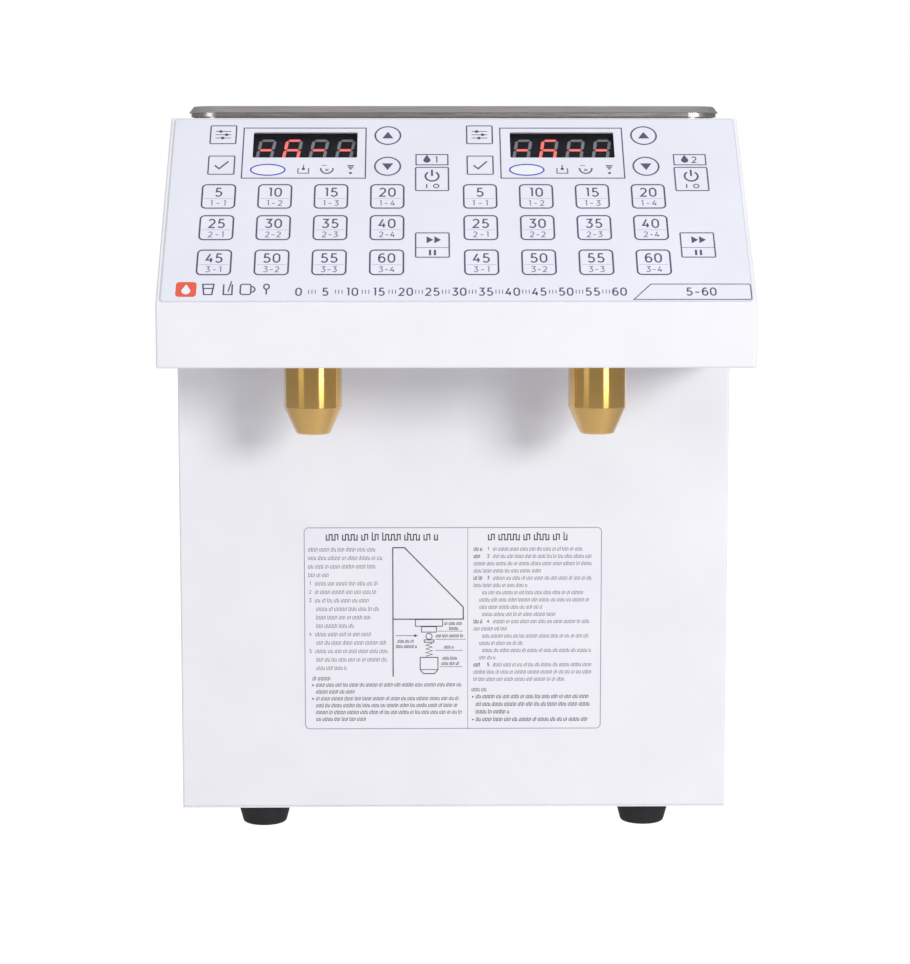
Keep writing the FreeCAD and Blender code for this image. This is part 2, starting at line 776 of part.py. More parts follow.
def nozzle_cap(side):
    """Screw-on cap: cylinder and cone outside, thread bore, spring chamber and outlet inside."""
    x, y = side * nozzle_x, nozzle_y
    top, knee, tip = lip_z - cap_top_drop, lip_z - cap_cylinder_drop, lip_z - cap_drop
    bore = neck_radius + thread_fit
    seat, floor = lip_z - neck_drop, lip_z - chamber_floor_drop
    outer = [
        (0, tip),
        (cap_tip_radius, tip),
        (cap_radius, knee),
        (cap_radius, top),
        (0, top),
    ]
    cap = turned(outer, x, y)
    cap = cap.makeFillet(cap_edge, edges_at(cap, tip))
    cap = cap.cut(rod(bore, V(x, y, seat - sheet_fit), V(x, y, top + cut_overrun)))
    cap = cap.cut(rod(chamber_radius, V(x, y, floor), V(x, y, top)))
    return cap.cut(rod(outlet_radius, V(x, y, tip - cut_overrun), V(x, y, top)))


def valve_plug(side):
    """Valve disc with a stem inside the spring and a round eye that stands up in the bore."""
    x, y = side * nozzle_x, nozzle_y
    seat = lip_z - neck_drop
    disc = rod(plug_radius, V(x, y, seat - plug_height), V(x, y, seat))
    stem = rod(plug_stem_radius, V(x, y, seat - plug_height - plug_stem), V(x, y, seat - plug_height))
    centre = V(x, y, seat + eye_rise)
    across = V(0, eye_thickness / 2, 0)
    eye = rod(eye_radius, centre - across, centre + across)
    shank_top = V(x, y, seat + eye_rise - eye_hole_radius)
    shank = rod(plug_stem_radius * plug_shank_share, V(x, y, seat - plug_height / 2), shank_top)
    plug = disc.fuse(stem).fuse(shank).fuse(eye)
    through = V(0, plug_radius, 0)
    return plug.cut(rod(eye_hole_radius, centre - through, centre + through)).removeSplitter()


def helix_arcs(x, y, z0, height, radius, turns):
    """Quarter-turn arc pairs that follow a helix, each pair tangent at both ends."""
    climb = height / (2 * math.pi * turns)

    def point(angle):
        return V(x + radius * math.cos(angle), y + radius * math.sin(angle), z0 + climb * angle)

    def tangent(angle):
        return V(-radius * math.sin(angle), radius * math.cos(angle), climb).normalize()

    edges = []
    quarters = 4 * turns
    for i in range(quarters):
        a, b = math.pi / 2 * i, math.pi / 2 * (i + 1)
        p, q, u, v = point(a), point(b), tangent(a), tangent(b)
        chord = q - p
        k = 2 * (u.dot(v) - 1)
        m = -2 * chord.dot(u + v)
        n = chord.dot(chord)
        reach = (-m - math.sqrt(m * m - 4 * k * n)) / (2 * k)
        reach = reach if reach > 0 else (-m + math.sqrt(m * m - 4 * k * n)) / (2 * k)
        c0, c1 = p + u * reach, q - v * reach
        joint = (c0 + c1) * 0.5
        for start, control, end in ((p, c0, joint), (joint, c1, q)):
            half_chord = (end - start).Length / 2
            cosine = half_chord / reach
            foot = (start + end) * 0.5
            middle = foot + (control - foot) * (cosine / (1 + cosine))
            edges.append(Part.Arc(start, middle, end).toShape())
    return Part.Wire(edges)


def valve_spring(side):
    """Compression spring between the cap's floor and the valve disc, one unbroken wire."""
    floor = lip_z - chamber_floor_drop
    ceiling = lip_z - neck_drop - plug_height
    z0 = floor + spring_wire / 2 + spring_end_gap
    height = ceiling - spring_end_gap - spring_wire / 2 - z0
    pitch = height / spring_turns
    print("spring least self gap", round(pitch * math.cos(math.atan(pitch / (2 * math.pi * spring_radius)))
                                         - spring_wire, 2))
    path = helix_arcs(side * nozzle_x, nozzle_y, z0, height, spring_radius, spring_turns)
    return swept(path, spring_wire / 2)


def gear_outline(tip_radius):
    """Closed wire of one spur gear about the origin, with tooth 0 centred on +X."""
    base = pitch_radius * math.cos(math.radians(gear_pressure_angle))
    root = pitch_radius - gear_dedendum
    inv_pitch = math.tan(math.radians(gear_pressure_angle)) - math.radians(gear_pressure_angle)
    half_tooth = math.pi / (2 * gear_teeth) - gear_backlash / (2 * pitch_radius)

    def flank_angle(r):
        alpha = math.acos(min(1, base / r))
        return half_tooth + inv_pitch - (math.tan(alpha) - alpha)

    def polar(r, angle):
        return V(r * math.cos(angle), r * math.sin(angle), 0)

    mid = (base + tip_radius) / 2
    edges = []
    step = 2 * math.pi / gear_teeth
    for i in range(gear_teeth):
        c = i * step
        low, middle, high = flank_angle(base), flank_angle(mid), flank_angle(tip_radius)
        rise, crest, fall = polar(tip_radius, c - high), polar(tip_radius, c), polar(tip_radius, c + high)
        heel, toe = polar(base, c - low), polar(base, c + low)
        edges.append(Part.LineSegment(polar(root, c - low), heel))
        edges.append(Part.Arc(heel, polar(mid, c - middle), rise))
        edges.append(Part.Arc(rise, crest, fall))
        edges.append(Part.Arc(fall, polar(mid, c + middle), toe))
        edges.append(Part.LineSegment(toe, polar(root, c + low)))
        edges.append(Part.Arc(polar(root, c + low), polar(root, c + step / 2), polar(root, c + step - low)))
    return Part.Wire([edge.toShape() for edge in edges])


gear_tip = pitch_radius + gear_addendum


def gear_blank(x, y, turn):
    """Gear wheel at its place in the pump, turned to mesh."""
    gear = Part.Face(gear_outline(gear_tip)).extrude(V(0, 0, gear_width))
    gear.rotate(V(0, 0, 0), V(0, 0, 1), turn)
    gear.translate(V(x, y, pump_z + pump_floor + gear_side_gap))
    return gear


def gear_places(side):
    """X of the drive gear and of the driven gear of one pump."""
    centre = side * nozzle_x
    return centre - side * pitch_radius, centre + side * pitch_radius


def drive_gear(side):
    """Drive gear with the long shaft that reaches down into the motor."""
    x = gear_places(side)[0]
    low = pump_z - drive_shaft_length + shaft_end_gap
    high = pump_z + pump_floor + cavity_height + shaft_end - shaft_end_gap
    return gear_blank(x, pump_y, 0).fuse(rod(shaft_radius, V(x, pump_y, low), V(x, pump_y, high)))


def driven_gear(side):
    """Driven gear with its short shaft in two blind bearings."""
    x = gear_places(side)[1]
    low = pump_z + pump_floor - shaft_end + shaft_end_gap
    high = pump_z + pump_floor + cavity_height + shaft_end - shaft_end_gap
    gear = gear_blank(x, pump_y, 180 / gear_teeth)
    return gear.fuse(rod(shaft_radius, V(x, pump_y, low), V(x, pump_y, high)))


def pump_housing(side):
    """Pump block with the gear cavity, two bearings and a spigot front and rear."""
    centre = side * nozzle_x
    height = pump_floor + cavity_height
    block = rounded_plate(pump_width, pump_depth, height, pump_corner, centre, pump_y, pump_z)
    cavity_z, cavity_top = pump_z + pump_floor, pump_z + height
    drive_x, driven_x = gear_places(side)
    for outwards in (V(0, -1, 0), V(0, 1, 0)):
        face = V(centre, pump_y, port_z) + outwards * (pump_depth / 2)
        block = block.fuse(spigot(face, outwards))
        bore = spigot_radius - spigot_wall
        far = V(centre, pump_y, port_z) + outwards * (spigot_reach + cut_overrun)
        block = block.cut(rod(bore, V(centre, pump_y, port_z) + outwards * (gear_tip / 2), far))
    for x in (drive_x, driven_x):
        room = gear_tip + gear_tip_gap
        block = block.cut(rod(room, V(x, pump_y, cavity_z), V(x, pump_y, cavity_top + cut_overrun)))
    for x, low in ((drive_x, pump_z - cut_overrun), (driven_x, cavity_z - shaft_end)):
        block = block.cut(rod(shaft_radius + shaft_fit, V(x, pump_y, low), V(x, pump_y, cavity_top)))
    return block


def pump_cover_plate(side):
    """Cover over the gear cavity, with two blind bearings and four cap heads."""
    centre = side * nozzle_x
    z = pump_z + pump_floor + cavity_height
    plate = rounded_plate(pump_width, pump_depth, pump_cover, pump_corner, centre, pump_y, z)
    hole = shaft_radius + shaft_fit
    for x in gear_places(side):
        plate = plate.cut(rod(hole, V(x, pump_y, z - cut_overrun), V(x, pump_y, z + shaft_end)))
    across, along = pump_width / 2 - pump_cap_inset, pump_depth / 2 - pump_cap_inset
    for sx in (-1, 1):
        for sy in (-1, 1):
            head = V(centre + sx * across, pump_y + sy * along, z + pump_cover)
            plate = plate.fuse(rod(pump_cap_radius, head, head + V(0, 0, pump_cap_height)))
    return plate


def pump_motor(side):
    """Upright motor on the base plate, with a blind bore for the drive shaft."""
    x = gear_places(side)[0]
    r, f, e = motor_radius, motor_foot_radius, motor_edge
    outline = [
        (0, shell_z),
        (f, shell_z),
        (f, shell_z + motor_foot_height),
        (r, shell_z + motor_foot_height),
        (r, pump_z - e),
        (r - e, pump_z),
        (0, pump_z),
    ]
    motor = turned(outline, x, pump_y)
    return motor.cut(rod(shaft_radius + shaft_fit, V(x, pump_y, pump_z - drive_shaft_length),
                         V(x, pump_y, pump_z + cut_overrun)))


def hose(path):
    """Hose with its bore along a wire."""
    tube = swept(path, hose_radius).cut(swept(path, hose_bore / 2))
    print("hose length", round(path.Length, 1), "volume share",
          round(tube.Volume / (math.pi * (hose_radius ** 2 - (hose_bore / 2) ** 2) * path.Length), 4))
    return tube


def hoses(side):
    """Hose from the tank outlet to the pump, and from the pump up to the nozzle."""
    x = side * nozzle_x
    mouth = pump_depth / 2 + spigot_shoulder
    crest_z = nozzle_shoulder_z + spigot_length + hose_rise + hose_bend
    inlet = [
        V(x, tank_outlet_y, tank_floor_z - spigot_shoulder),
        V(x, tank_outlet_y, port_z),
        V(x, pump_y + mouth, port_z),
    ]
    outlet = [
        V(x, pump_y - mouth, port_z),
        V(x, riser_y, port_z),
        V(x, riser_y, crest_z),
        V(x, nozzle_y, crest_z),
        V(x, nozzle_y, nozzle_shoulder_z),
    ]
    return [hose(round_path(points, hose_bend)) for points in (inlet, outlet)]


def power_inlet():
    """Mains inlet: bezel outside, body inside with side clips, hexagonal socket with three pins."""
    z = shell_z + inlet_rise
    bezel = rounded_plate(inlet_bezel_width, inlet_bezel_height, inlet_bezel, inlet_edge)
    depth = inlet_body_depth
    inlet = bezel.fuse(rounded_plate(inlet_body_width, inlet_body_height, depth, inlet_edge, 0, 0, -depth))
    a, b, c = inlet_socket_width / 2, inlet_socket_height / 2, inlet_socket_corner
    points = [V(-a, -b), V(a, -b), V(a, b - c), V(a - c, b), V(c - a, b), V(-a, b - c)]
    outline = Part.Face(Part.makePolygon(points + points[:1]))
    socket = outline.extrude(V(0, 0, inlet_socket_depth + cut_overrun))
    socket.translate(V(0, 0, inlet_bezel - inlet_socket_depth))
    inlet = inlet.cut(socket)
    floor = inlet_bezel - inlet_socket_depth
    dx, dy = pin_thickness / 2, pin_width / 2
    for px, py in ((-pin_spacing, -pin_offset), (pin_spacing, -pin_offset), (0, pin_offset)):
        inlet = inlet.fuse(box(px - dx, px + dx, py - dy, py + dy, floor, floor + pin_length))
    for side in (-1, 1):
        x0, x1 = sorted((side * inlet_body_width / 2, side * (inlet_body_width / 2 + clip_proud)))
        inlet = inlet.fuse(box(x0, x1, -clip_height / 2, clip_height / 2, -sheet - clip_length, -sheet))
    inlet = inlet.removeSplitter()
    inlet.rotate(V(0, 0, 0), V(1, 0, 0), -90)
    inlet.rotate(V(0, 0, 0), V(0, 1, 0), 180)
    inlet.translate(V(inlet_x, rear_y, z))
    return inlet


def rubber_foot(x, y):
    """Tapered rubber foot with a recess for its screw head."""
    h, top, low = foot_height, foot_top_radius, foot_bottom_radius
    foot = turned([(0, 0), (low, 0), (top, h), (0, h)], x, y)
    foot = foot.makeFillet(foot_edge, edges_at(foot, 0))
    foot = foot.cut(rod(foot_recess_radius, V(x, y, -cut_overrun), V(x, y, foot_recess_depth)))
    return foot.cut(rod(screw_radius + screw_hole_fit, V(x, y, 0), V(x, y, h + cut_overrun)))


export("body_shell", body_shell())
export("chassis", chassis())
export("head_cover", head_cover())
export("head_underside", head_underside())
export("tank", tank())
export("tank_lid", tank_lid())
export("keypad_overlay", keypad_overlay())
for bank, side_name in zip(banks, side_names):
    for name, x, v, blank in bank_keys():
        export("key_" + side_name + "_" + name, key_solid(bank, x, v, blank))
export("circuit_boards", keypad_board(banks[0]), keypad_board(banks[1]), power_board())
export("nozzle_bodies", nozzle_body(-1), nozzle_body(1), lock_nut(-1), lock_nut(1))
for side, side_name in zip((-1, 1), side_names):
    export("nozzle_cap_" + side_name, nozzle_cap(side))
    export("valve_plug_" + side_name, valve_plug(side))
    export("valve_spring_" + side_name, valve_spring(side))
    export("drive_gear_" + side_name, drive_gear(side))
    export("driven_gear_" + side_name, driven_gear(side))
pump_pieces = (pump_housing, pump_cover_plate, pump_motor)
export("gear_pumps", *[make(side) for side in (-1, 1) for make in pump_pieces])
export("syrup_hoses", *hoses(-1), *hoses(1))
export("power_inlet", power_inlet())
export("rubber_feet", *[rubber_foot(x, y) for x, y in foot_places])
screw_places = cheek_screws + rear_screws + foot_screws
export("casing_screws", *[screw(place, outwards) for place, outwards in screw_places])
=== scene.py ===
"""Looks of a twin counter-top syrup dispenser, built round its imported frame."""

import logging
import math
import random
from dataclasses import dataclass, field
from enum import Enum
from typing import Any, ClassVar, Iterable, Sequence

import bpy
from mathutils import Matrix, Vector


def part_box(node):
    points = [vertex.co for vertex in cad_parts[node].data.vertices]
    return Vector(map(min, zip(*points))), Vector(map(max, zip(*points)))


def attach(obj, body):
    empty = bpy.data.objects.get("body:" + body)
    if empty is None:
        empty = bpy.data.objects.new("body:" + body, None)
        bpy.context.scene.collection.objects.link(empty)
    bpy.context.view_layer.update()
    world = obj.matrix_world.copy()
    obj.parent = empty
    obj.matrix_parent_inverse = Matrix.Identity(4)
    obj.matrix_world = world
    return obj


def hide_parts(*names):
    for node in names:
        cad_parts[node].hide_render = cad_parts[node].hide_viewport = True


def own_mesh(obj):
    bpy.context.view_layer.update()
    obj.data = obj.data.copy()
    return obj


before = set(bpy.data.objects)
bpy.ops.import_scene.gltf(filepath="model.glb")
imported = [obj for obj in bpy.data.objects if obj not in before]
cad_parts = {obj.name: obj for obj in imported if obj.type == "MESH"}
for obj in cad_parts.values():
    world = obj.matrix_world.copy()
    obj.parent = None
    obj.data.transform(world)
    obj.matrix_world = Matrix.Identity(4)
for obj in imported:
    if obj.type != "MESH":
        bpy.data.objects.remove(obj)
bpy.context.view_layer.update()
log = logging.getLogger("dispenser")

MM = 0.001
ROOT = "dispenser"
SIDES = ("left", "right")
Point = tuple[float, float]
Triple = tuple[float, float, float]
Colour = tuple[float, float, float, float]
Tree, Node, Socket = bpy.types.NodeTree, bpy.types.Node, bpy.types.NodeSocket
Mesh, Piece = bpy.types.Mesh, bpy.types.Object


# Shared helpers for shaders and meshes


def linear(hex_colour: str) -> Colour:
    """Turn an sRGB hex colour into linear red, green, blue and alpha.

    Args:
        hex_colour: Six hex digits, with or without a leading hash.

    Returns:
        Linear channel values with an alpha of 1.
    """
    digits = hex_colour.lstrip("#")
    channels = [int(digits[i:i + 2], 16) / 255 for i in (0, 2, 4)]
    red, green, blue = [c / 12.92 if c <= 0.04045 else ((c + 0.055) / 1.055) ** 2.4 for c in channels]
    return red, green, blue, 1.0


def add_node(tree: Tree, kind: str, settings: dict[str | int, Any] | None = None,
             links: dict[str | int, Socket] | None = None) -> Node:
    """Add one node with its settings and links.

    Args:
        tree: The tree that gets the node.
        kind: The node's type without its ShaderNode prefix.
        settings: Values by input socket name or number, or by property name.
        links: Source sockets by input socket name or number.

    Returns:
        The new node.
    """
    node = tree.nodes.new("ShaderNode" + kind)
    for name, value in (settings or {}).items():
        if isinstance(name, str) and hasattr(node, name):
            setattr(node, name, value)
        else:
            node.inputs[name].default_value = value
    for name, source in (links or {}).items():
        tree.links.new(source, node.inputs[name])
    return node


def arc(x: float, y: float, rx: float, ry: float, start: float, end: float, step: float = 12.0) -> list[Point]:
    """Points along an elliptic arc.

    Args:
        x: Centre across.
        y: Centre up.
        rx: Radius across.
        ry: Radius up.
        start: First angle in degrees.
        end: Last angle in degrees.
        step: Largest angle between two points, in degrees.

    Returns:
        Points from the first angle to the last.
    """
    count = max(2, math.ceil(abs(end - start) / step))
    angles = [math.radians(start + (end - start) * i / count) for i in range(count + 1)]
    return [(x + rx * math.cos(a), y + ry * math.sin(a)) for a in angles]


def oval(x: float, y: float, rx: float, ry: float, step: float = 12.0) -> list[Point]:
    """Outline of an ellipse, without a repeated last point."""
    return arc(x, y, rx, ry, 0, 360, step)[:-1]


def rounded_rectangle(x: float, y: float, width: float, height: float, corner: float) -> list[Point]:
    """Outline of a rectangle with round corners, centred on x, y.

    Args:
        x: Centre across.
        y: Centre up.
        width: Overall width.
        height: Overall height.
        corner: Corner radius.

    Returns:
        Points in order, without a repeated last point.
    """
    if corner <= 0:
        w, h = width / 2, height / 2
        return [(x - w, y - h), (x + w, y - h), (x + w, y + h), (x - w, y + h)]
    a, b = width / 2 - corner, height / 2 - corner
    points: list[Point] = []
    for sx, sy, start in ((1, -1, -90), (1, 1, 0), (-1, 1, 90), (-1, -1, 180)):
        points += arc(x + sx * a, y + sy * b, corner, corner, start, start + 90, 15)
    return points


def shown(name: str, mesh: Mesh, finish: "Finish", body: str) -> Piece:
    """Put a mesh in the scene with one finish, riding on a body.

    Args:
        name: The piece's name.
        mesh: The finished mesh in metres.
        finish: The finish of the whole piece.
        body: The moving body that carries it.

    Returns:
        The new object.
    """
    piece = bpy.data.objects.new(name, mesh)
    bpy.context.scene.collection.objects.link(piece)
    mesh.materials.append(finish.material())
    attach(piece, body)
    return piece


def mesh_of(name: str, vertices: Iterable[Sequence[float]], faces: Iterable[Sequence[int]],
            smooth: bool = False) -> Mesh:
    """Make a mesh from points and faces.

    Args:
        name: The mesh's name.
        vertices: Points in metres.
        faces: Point numbers of each face.
        smooth: Whether the faces shade smoothly.

    Returns:
        The new mesh.
    """
    mesh = bpy.data.meshes.new(name)
    mesh.from_pydata([tuple(v) for v in vertices], [], [tuple(f) for f in faces])
    mesh.validate()
    mesh.shade_smooth() if smooth else mesh.shade_flat()
    mesh.update()
    return mesh


def turned_mesh(name: str, outline: Sequence[Point], x: float, y: float, steps: int = 128) -> Mesh:
    """Turn a closed outline about an upright line.

    Args:
        name: The mesh's name.
        outline: Radius and height of each point, in metres.
        x: Place of the line across.
        y: Place of the line in depth.
        steps: Facets round the line.

    Returns:
        The turned mesh.
    """
    vertices = []
    for i in range(steps):
        angle = 2 * math.pi * i / steps
        vertices += [(x + r * math.cos(angle), y + r * math.sin(angle), z) for r, z in outline]
    count = len(outline)
    faces = []
    for i in range(steps):
        here, ahead = i * count, (i + 1) % steps * count
        for j in range(count):
            k = (j + 1) % count
            faces.append((here + j, ahead + j, ahead + k, here + k))
    return mesh_of(name, vertices, faces, smooth=True)


# Finishes


@dataclass(frozen=True)
class Grain:
    """Noise by its real size, in the piece's own coordinates.

    Attributes:
        spacing: Distance between features in millimetres.
        detail: Finer layers in the noise.
        stretch: Scale along X, Y and Z, where a small one draws the noise out along its axis.
        ends: Values of the noise that count as its low and its high end.
    """

    spacing: float
    detail: float = 2.0
    stretch: Triple = (1.0, 1.0, 1.0)
    ends: Point = (0.3, 0.7)
    layering: ClassVar[float] = 0.55

    def texture(self, tree: Tree, place: Socket) -> Socket:
        """Add the texture at a place and return its value."""
        settings = {"Scale": 1 / (self.spacing * MM), "Detail": self.detail, "Roughness": self.layering}
        return add_node(tree, "TexNoise", settings, {"Vector": place}).outputs["Fac"]

    def value(self, tree: Tree) -> Socket:
        """Add the pattern in object coordinates and return its value."""
        source = add_node(tree, "TexCoord").outputs["Object"]
        mapping = add_node(tree, "Mapping", {"Scale": self.stretch}, {"Vector": source})
        return self.texture(tree, mapping.outputs["Vector"])

    def span(self, tree: Tree, low: float = 0.0, high: float = 1.0) -> Socket:
        """Spread the pattern over a range of numbers.

        Args:
            tree: The material's tree.
            low: Number at the pattern's low end.
            high: Number at its high end.

        Returns:
            The number's socket.
        """
        start, end = self.ends
        settings = {"From Min": start, "From Max": end, "To Min": low, "To Max": high}
        return add_node(tree, "MapRange", settings, {"Value": self.value(tree)}).outputs["Result"]


@dataclass(frozen=True)
class Cells(Grain):
    """Irregular square cells, whose value is the distance to the nearest edge."""

    unevenness: ClassVar[float] = 0.35

    def texture(self, tree: Tree, place: Socket) -> Socket:
        """Add the cells at a place and return their value."""
        settings = {"feature": "DISTANCE_TO_EDGE", "Scale": 1 / (self.spacing * MM), "Randomness": self.unevenness}
        return add_node(tree, "TexVoronoi", settings, {"Vector": place}).outputs["Distance"]


@dataclass(frozen=True)
class Finish:
    """One surface finish, made into a material on first use.

    Attributes:
        name: The material and how its surface was made.
        low: Hex colour at the low end of its pattern.
        high: Hex colour at the high end, and the only one where there is no pattern.
        tone: Pattern of the colour.
        rough: Roughness, which is that of the low end where it has a pattern.
        dull: Roughness at the high end.
        gloss: Pattern of the roughness.
        relief: Pattern of the bump.
        height: Height of the bump in millimetres.
        strength: Share of the bump that shows.
        own: Constants of this finish by the shader's socket, over those common to its kind.
    """

    common: ClassVar[dict[str, Any]] = {}
    name: str
    low: str
    high: str
    tone: Grain | None = None
    rough: float = 0.5
    dull: float = 0.5
    gloss: Grain | None = None
    relief: Grain | None = None
    height: float = 0.01
    strength: float = 0.5
    own: dict[str, Any] = field(default_factory=dict)

    def material(self) -> bpy.types.Material:
        """Return the material of this finish, made once."""
        found = bpy.data.materials.get(self.name)
        if found:
            return found
        made = bpy.data.materials.new(self.name)
        made.use_nodes = True
        made.node_tree.nodes.clear()
        shader = add_node(made.node_tree, "BsdfPrincipled")
        add_node(made.node_tree, "OutputMaterial", links={"Surface": shader.outputs["BSDF"]})
        self.dress(made.node_tree, shader)
        return made

    def dress(self, tree: Tree, shader: Node) -> None:
        """Set the shader's constants and link its patterns."""
        constants = {"Base Color": linear(self.high), "Roughness": self.rough, **self.common, **self.own}
        links: dict[str, Socket] = {}
        if self.tone:
            mix = add_node(tree, "Mix", {"data_type": "RGBA"}, {"Factor": self.tone.span(tree)})
            mix.inputs["A"].default_value = linear(self.low)
            mix.inputs["B"].default_value = linear(self.high)
            links["Base Color"] = mix.outputs["Result"]
        if self.gloss:
            links["Roughness"] = self.gloss.span(tree, self.rough, self.dull)
        if self.relief:
            settings = {"Strength": self.strength, "Distance": self.height * MM}
            bump = add_node(tree, "Bump", settings, {"Height": self.relief.value(tree)})
            links["Normal"] = bump.outputs["Normal"]
        for socket, value in constants.items():
            if socket not in links:
                shader.inputs[socket].default_value = value
        for socket, source in links.items():
            tree.links.new(source, shader.inputs[socket])


@dataclass(frozen=True)
class PowderCoat(Finish):
    """Polyester powder baked on sheet steel.

    The eye gets a clean cold white, a soft broad highlight and a very fine orange peel.
    """

    common = {"IOR": 1.5}
    tone: Grain | None = Grain(60, 3)
    rough: float = 0.34
    dull: float = 0.42
    gloss: Grain | None = Grain(25)
    relief: Grain | None = Grain(0.9)
    height: float = 0.012
    strength: float = 0.6


@dataclass(frozen=True)
class DrawnStainless(Finish):
    """Stainless sheet, pressed and satin-brushed along its length.

    The eye gets a grey-brown metal with long fine streaks and blurred reflections.
    """

    common = {"Metallic": 1.0}
    streaks: ClassVar[Grain] = Grain(0.5, 3, (0.02, 1.0, 1.0))
    tone: Grain | None = streaks
    rough: float = 0.21
    dull: float = 0.34
    gloss: Grain | None = streaks
    relief: Grain | None = streaks


@dataclass(frozen=True)
class PolyesterFilm(Finish):
    """Reverse-printed polyester film with a matt hard coat.

    The eye gets a cool blue-white, flatter than paint, with a fine velvet grain.
    """

    common = {"IOR": 1.57}
    tone: Grain | None = Grain(45)
    relief: Grain | None = Grain(0.5, 1)
    height: float = 0.006


@dataclass(frozen=True)
class ScreenInk(Finish):
    """Screen-printed ink.

    The eye gets a flat, slightly uneven tone where the mesh laid down more or less ink.
    """

    common = {"IOR": 1.5}
    tone: Grain | None = Grain(0.8)


@dataclass(frozen=True)
class TurnedBrass(Finish):
    """Free-cutting brass, turned on a lathe and lacquered.

    The eye gets a warm gold. Fine rings round the axis draw each reflection out into an upright band, and the
    lacquer adds a thin gloss of its own.
    """

    common = {"Metallic": 1.0, "Anisotropic": 0.96, "Anisotropic Rotation": 0.25, "Coat Weight": 1.0,
              "Coat Roughness": 0.16}
    rings: ClassVar[Grain] = Grain(0.5, 2, (0.01, 0.01, 1.0))
    tone: Grain | None = rings
    rough: float = 0.19
    relief: Grain | None = rings
    height: float = 0.0006


@dataclass(frozen=True)
class MachinedMetal(Finish):
    """Metal part from a machine shop, such as a screw, plug, spring, pin or pump block.

    The eye gets a grey metal with short tool marks and a dull gleam.
    """

    common = {"Metallic": 1.0}
    marks: ClassVar[Grain] = Grain(0.4, 3)
    tone: Grain | None = marks
    rough: float = 0.27
    dull: float = 0.42
    gloss: Grain | None = marks
    relief: Grain | None = marks
    strength: float = 0.4


@dataclass(frozen=True)
class MouldedRubber(Finish):
    """Rubber or silicone from a mould.

    The eye gets a dull surface with a dusty bloom and a fine stipple, and light passes into pale silicone.
    """

    common = {"IOR": 1.45, "Subsurface Scale": 3 * MM}
    tone: Grain | None = Grain(6, 3)
    rough: float = 0.62
    relief: Grain | None = Grain(0.7)
    height: float = 0.03


@dataclass(frozen=True)
class MouldedNylon(Finish):
    """Glass-filled nylon or epoxy from a mould.

    The eye gets a dark plastic with a spark-eroded grain and a low sheen.
    """

    common = {"IOR": 1.53}
    erosion: ClassVar[Grain] = Grain(0.3)
    tone: Grain | None = erosion
    rough: float = 0.42
    relief: Grain | None = erosion
    height: float = 0.008


@dataclass(frozen=True)
class SolderMask(Finish):
    """Epoxy board under green solder mask.

    The eye gets a glossy dark green with paler copper runs beneath it, along the edges of a cell pattern.
    """

    common = {"IOR": 1.5}
    tone: Grain | None = Cells(4.0, ends=(0.08, 0.12))
    rough: float = 0.25


@dataclass(frozen=True)
class LitSegment(Finish):
    """Diffused light bar of a display, lit or dark.

    The eye gets a milky plastic, and where it is lit a pink-red glow.
    """

    tone: Grain | None = Grain(0.6, 1, ends=(0.0, 1.0))
    rough: float = 0.45


@dataclass(frozen=True)
class ClearFilm(Finish):
    """Clear polyester pane.

    The eye gets only a thin, faintly wavy gloss over what lies behind it.
    """

    common = {"IOR": 1.57, "Alpha": 0.12}
    rough: float = 0.1
    relief: Grain | None = Grain(9, 1)
    strength: float = 0.3


@dataclass(frozen=True)
class PaleBoard(Finish):
    """Back-lit matt board under the machine.

    The eye gets a plain near-white, almost all of it the board's own light.
    """

    common = {"Emission Color": linear("#FFFFFF"), "Emission Strength": 1.0}
    tone: Grain | None = Grain(80, 1, ends=(0.0, 1.0))
    rough: float = 0.9


WHITE_PAINT = PowderCoat("powder_coated_steel_white", "#EBEBF0", "#F0F0F4")
LID_STEEL = DrawnStainless("brushed_stainless_rim", "#9A9594", "#B4AFAD")
TANK_STEEL = DrawnStainless("drawn_stainless_tank", "#ABA7A5", "#C2BEBB")
FILM = PolyesterFilm("printed_polyester_film", "#E3E5EE", "#E7E9F2")
INK = ScreenInk("screen_ink_violet_grey", "#51466A", "#5C5174")
THIN_INK = ScreenInk("screen_ink_half_tone", "#7A7090", "#857B9A")
HAIR_INK = ScreenInk("screen_ink_hairline", "#B2ADBE", "#BAB5C6")
BLUE_INK = ScreenInk("screen_ink_blue", "#2A36B4", "#3543BE")
ORANGE_INK = ScreenInk("screen_ink_orange", "#E2573C", "#E66246")
WHITE_INK = ScreenInk("screen_ink_white", "#F1F1F7", "#ECECF3")
# Grey line along the keypad film's edge: painted shade of the film's thin edge, laid like ink
EDGE_SHADE = ScreenInk("painted_film_edge_shade", "#C3C4D0", "#CACBD6")
LABEL_FILM = PolyesterFilm("vinyl_label_film", "#EEECF3", "#F1EFF5", rough=0.35)
LABEL_INK = ScreenInk("label_ink_slate", "#22333C", "#2E3F48")
LABEL_TEXT_INK = ScreenInk("label_ink_grey", "#5F6B74", "#6B7780")
LABEL_LINE_INK = ScreenInk("label_ink_blue_grey", "#7A8E98", "#8598A2")
BRASS = TurnedBrass("turned_brass_lacquered", "#DDAF5B", "#E6BA68")
SATIN_BRASS = TurnedBrass("turned_brass_satin_cone", "#E2B768", "#E8BE72", rough=0.42, own={"Anisotropic": 0.3})
GEAR_BRASS = TurnedBrass("hobbed_brass", "#B98F42", "#CDA75A", rough=0.3,
                         own={"Anisotropic": 0.0, "Coat Weight": 0.0})
RUBBER = MouldedRubber("moulded_black_rubber", "#141418", "#1F1F25")
SILICONE = MouldedRubber("extruded_silicone", "#D5D5CF", "#E2E2DC", rough=0.4, own={"Subsurface Weight": 0.35})
NYLON = MouldedNylon("moulded_black_nylon", "#131316", "#1D1D21")
DISPLAY_EPOXY = MouldedNylon("display_epoxy_black", "#0E0F17", "#14151D", rough=0.5,
                             own={"Specular IOR Level": 0.12})
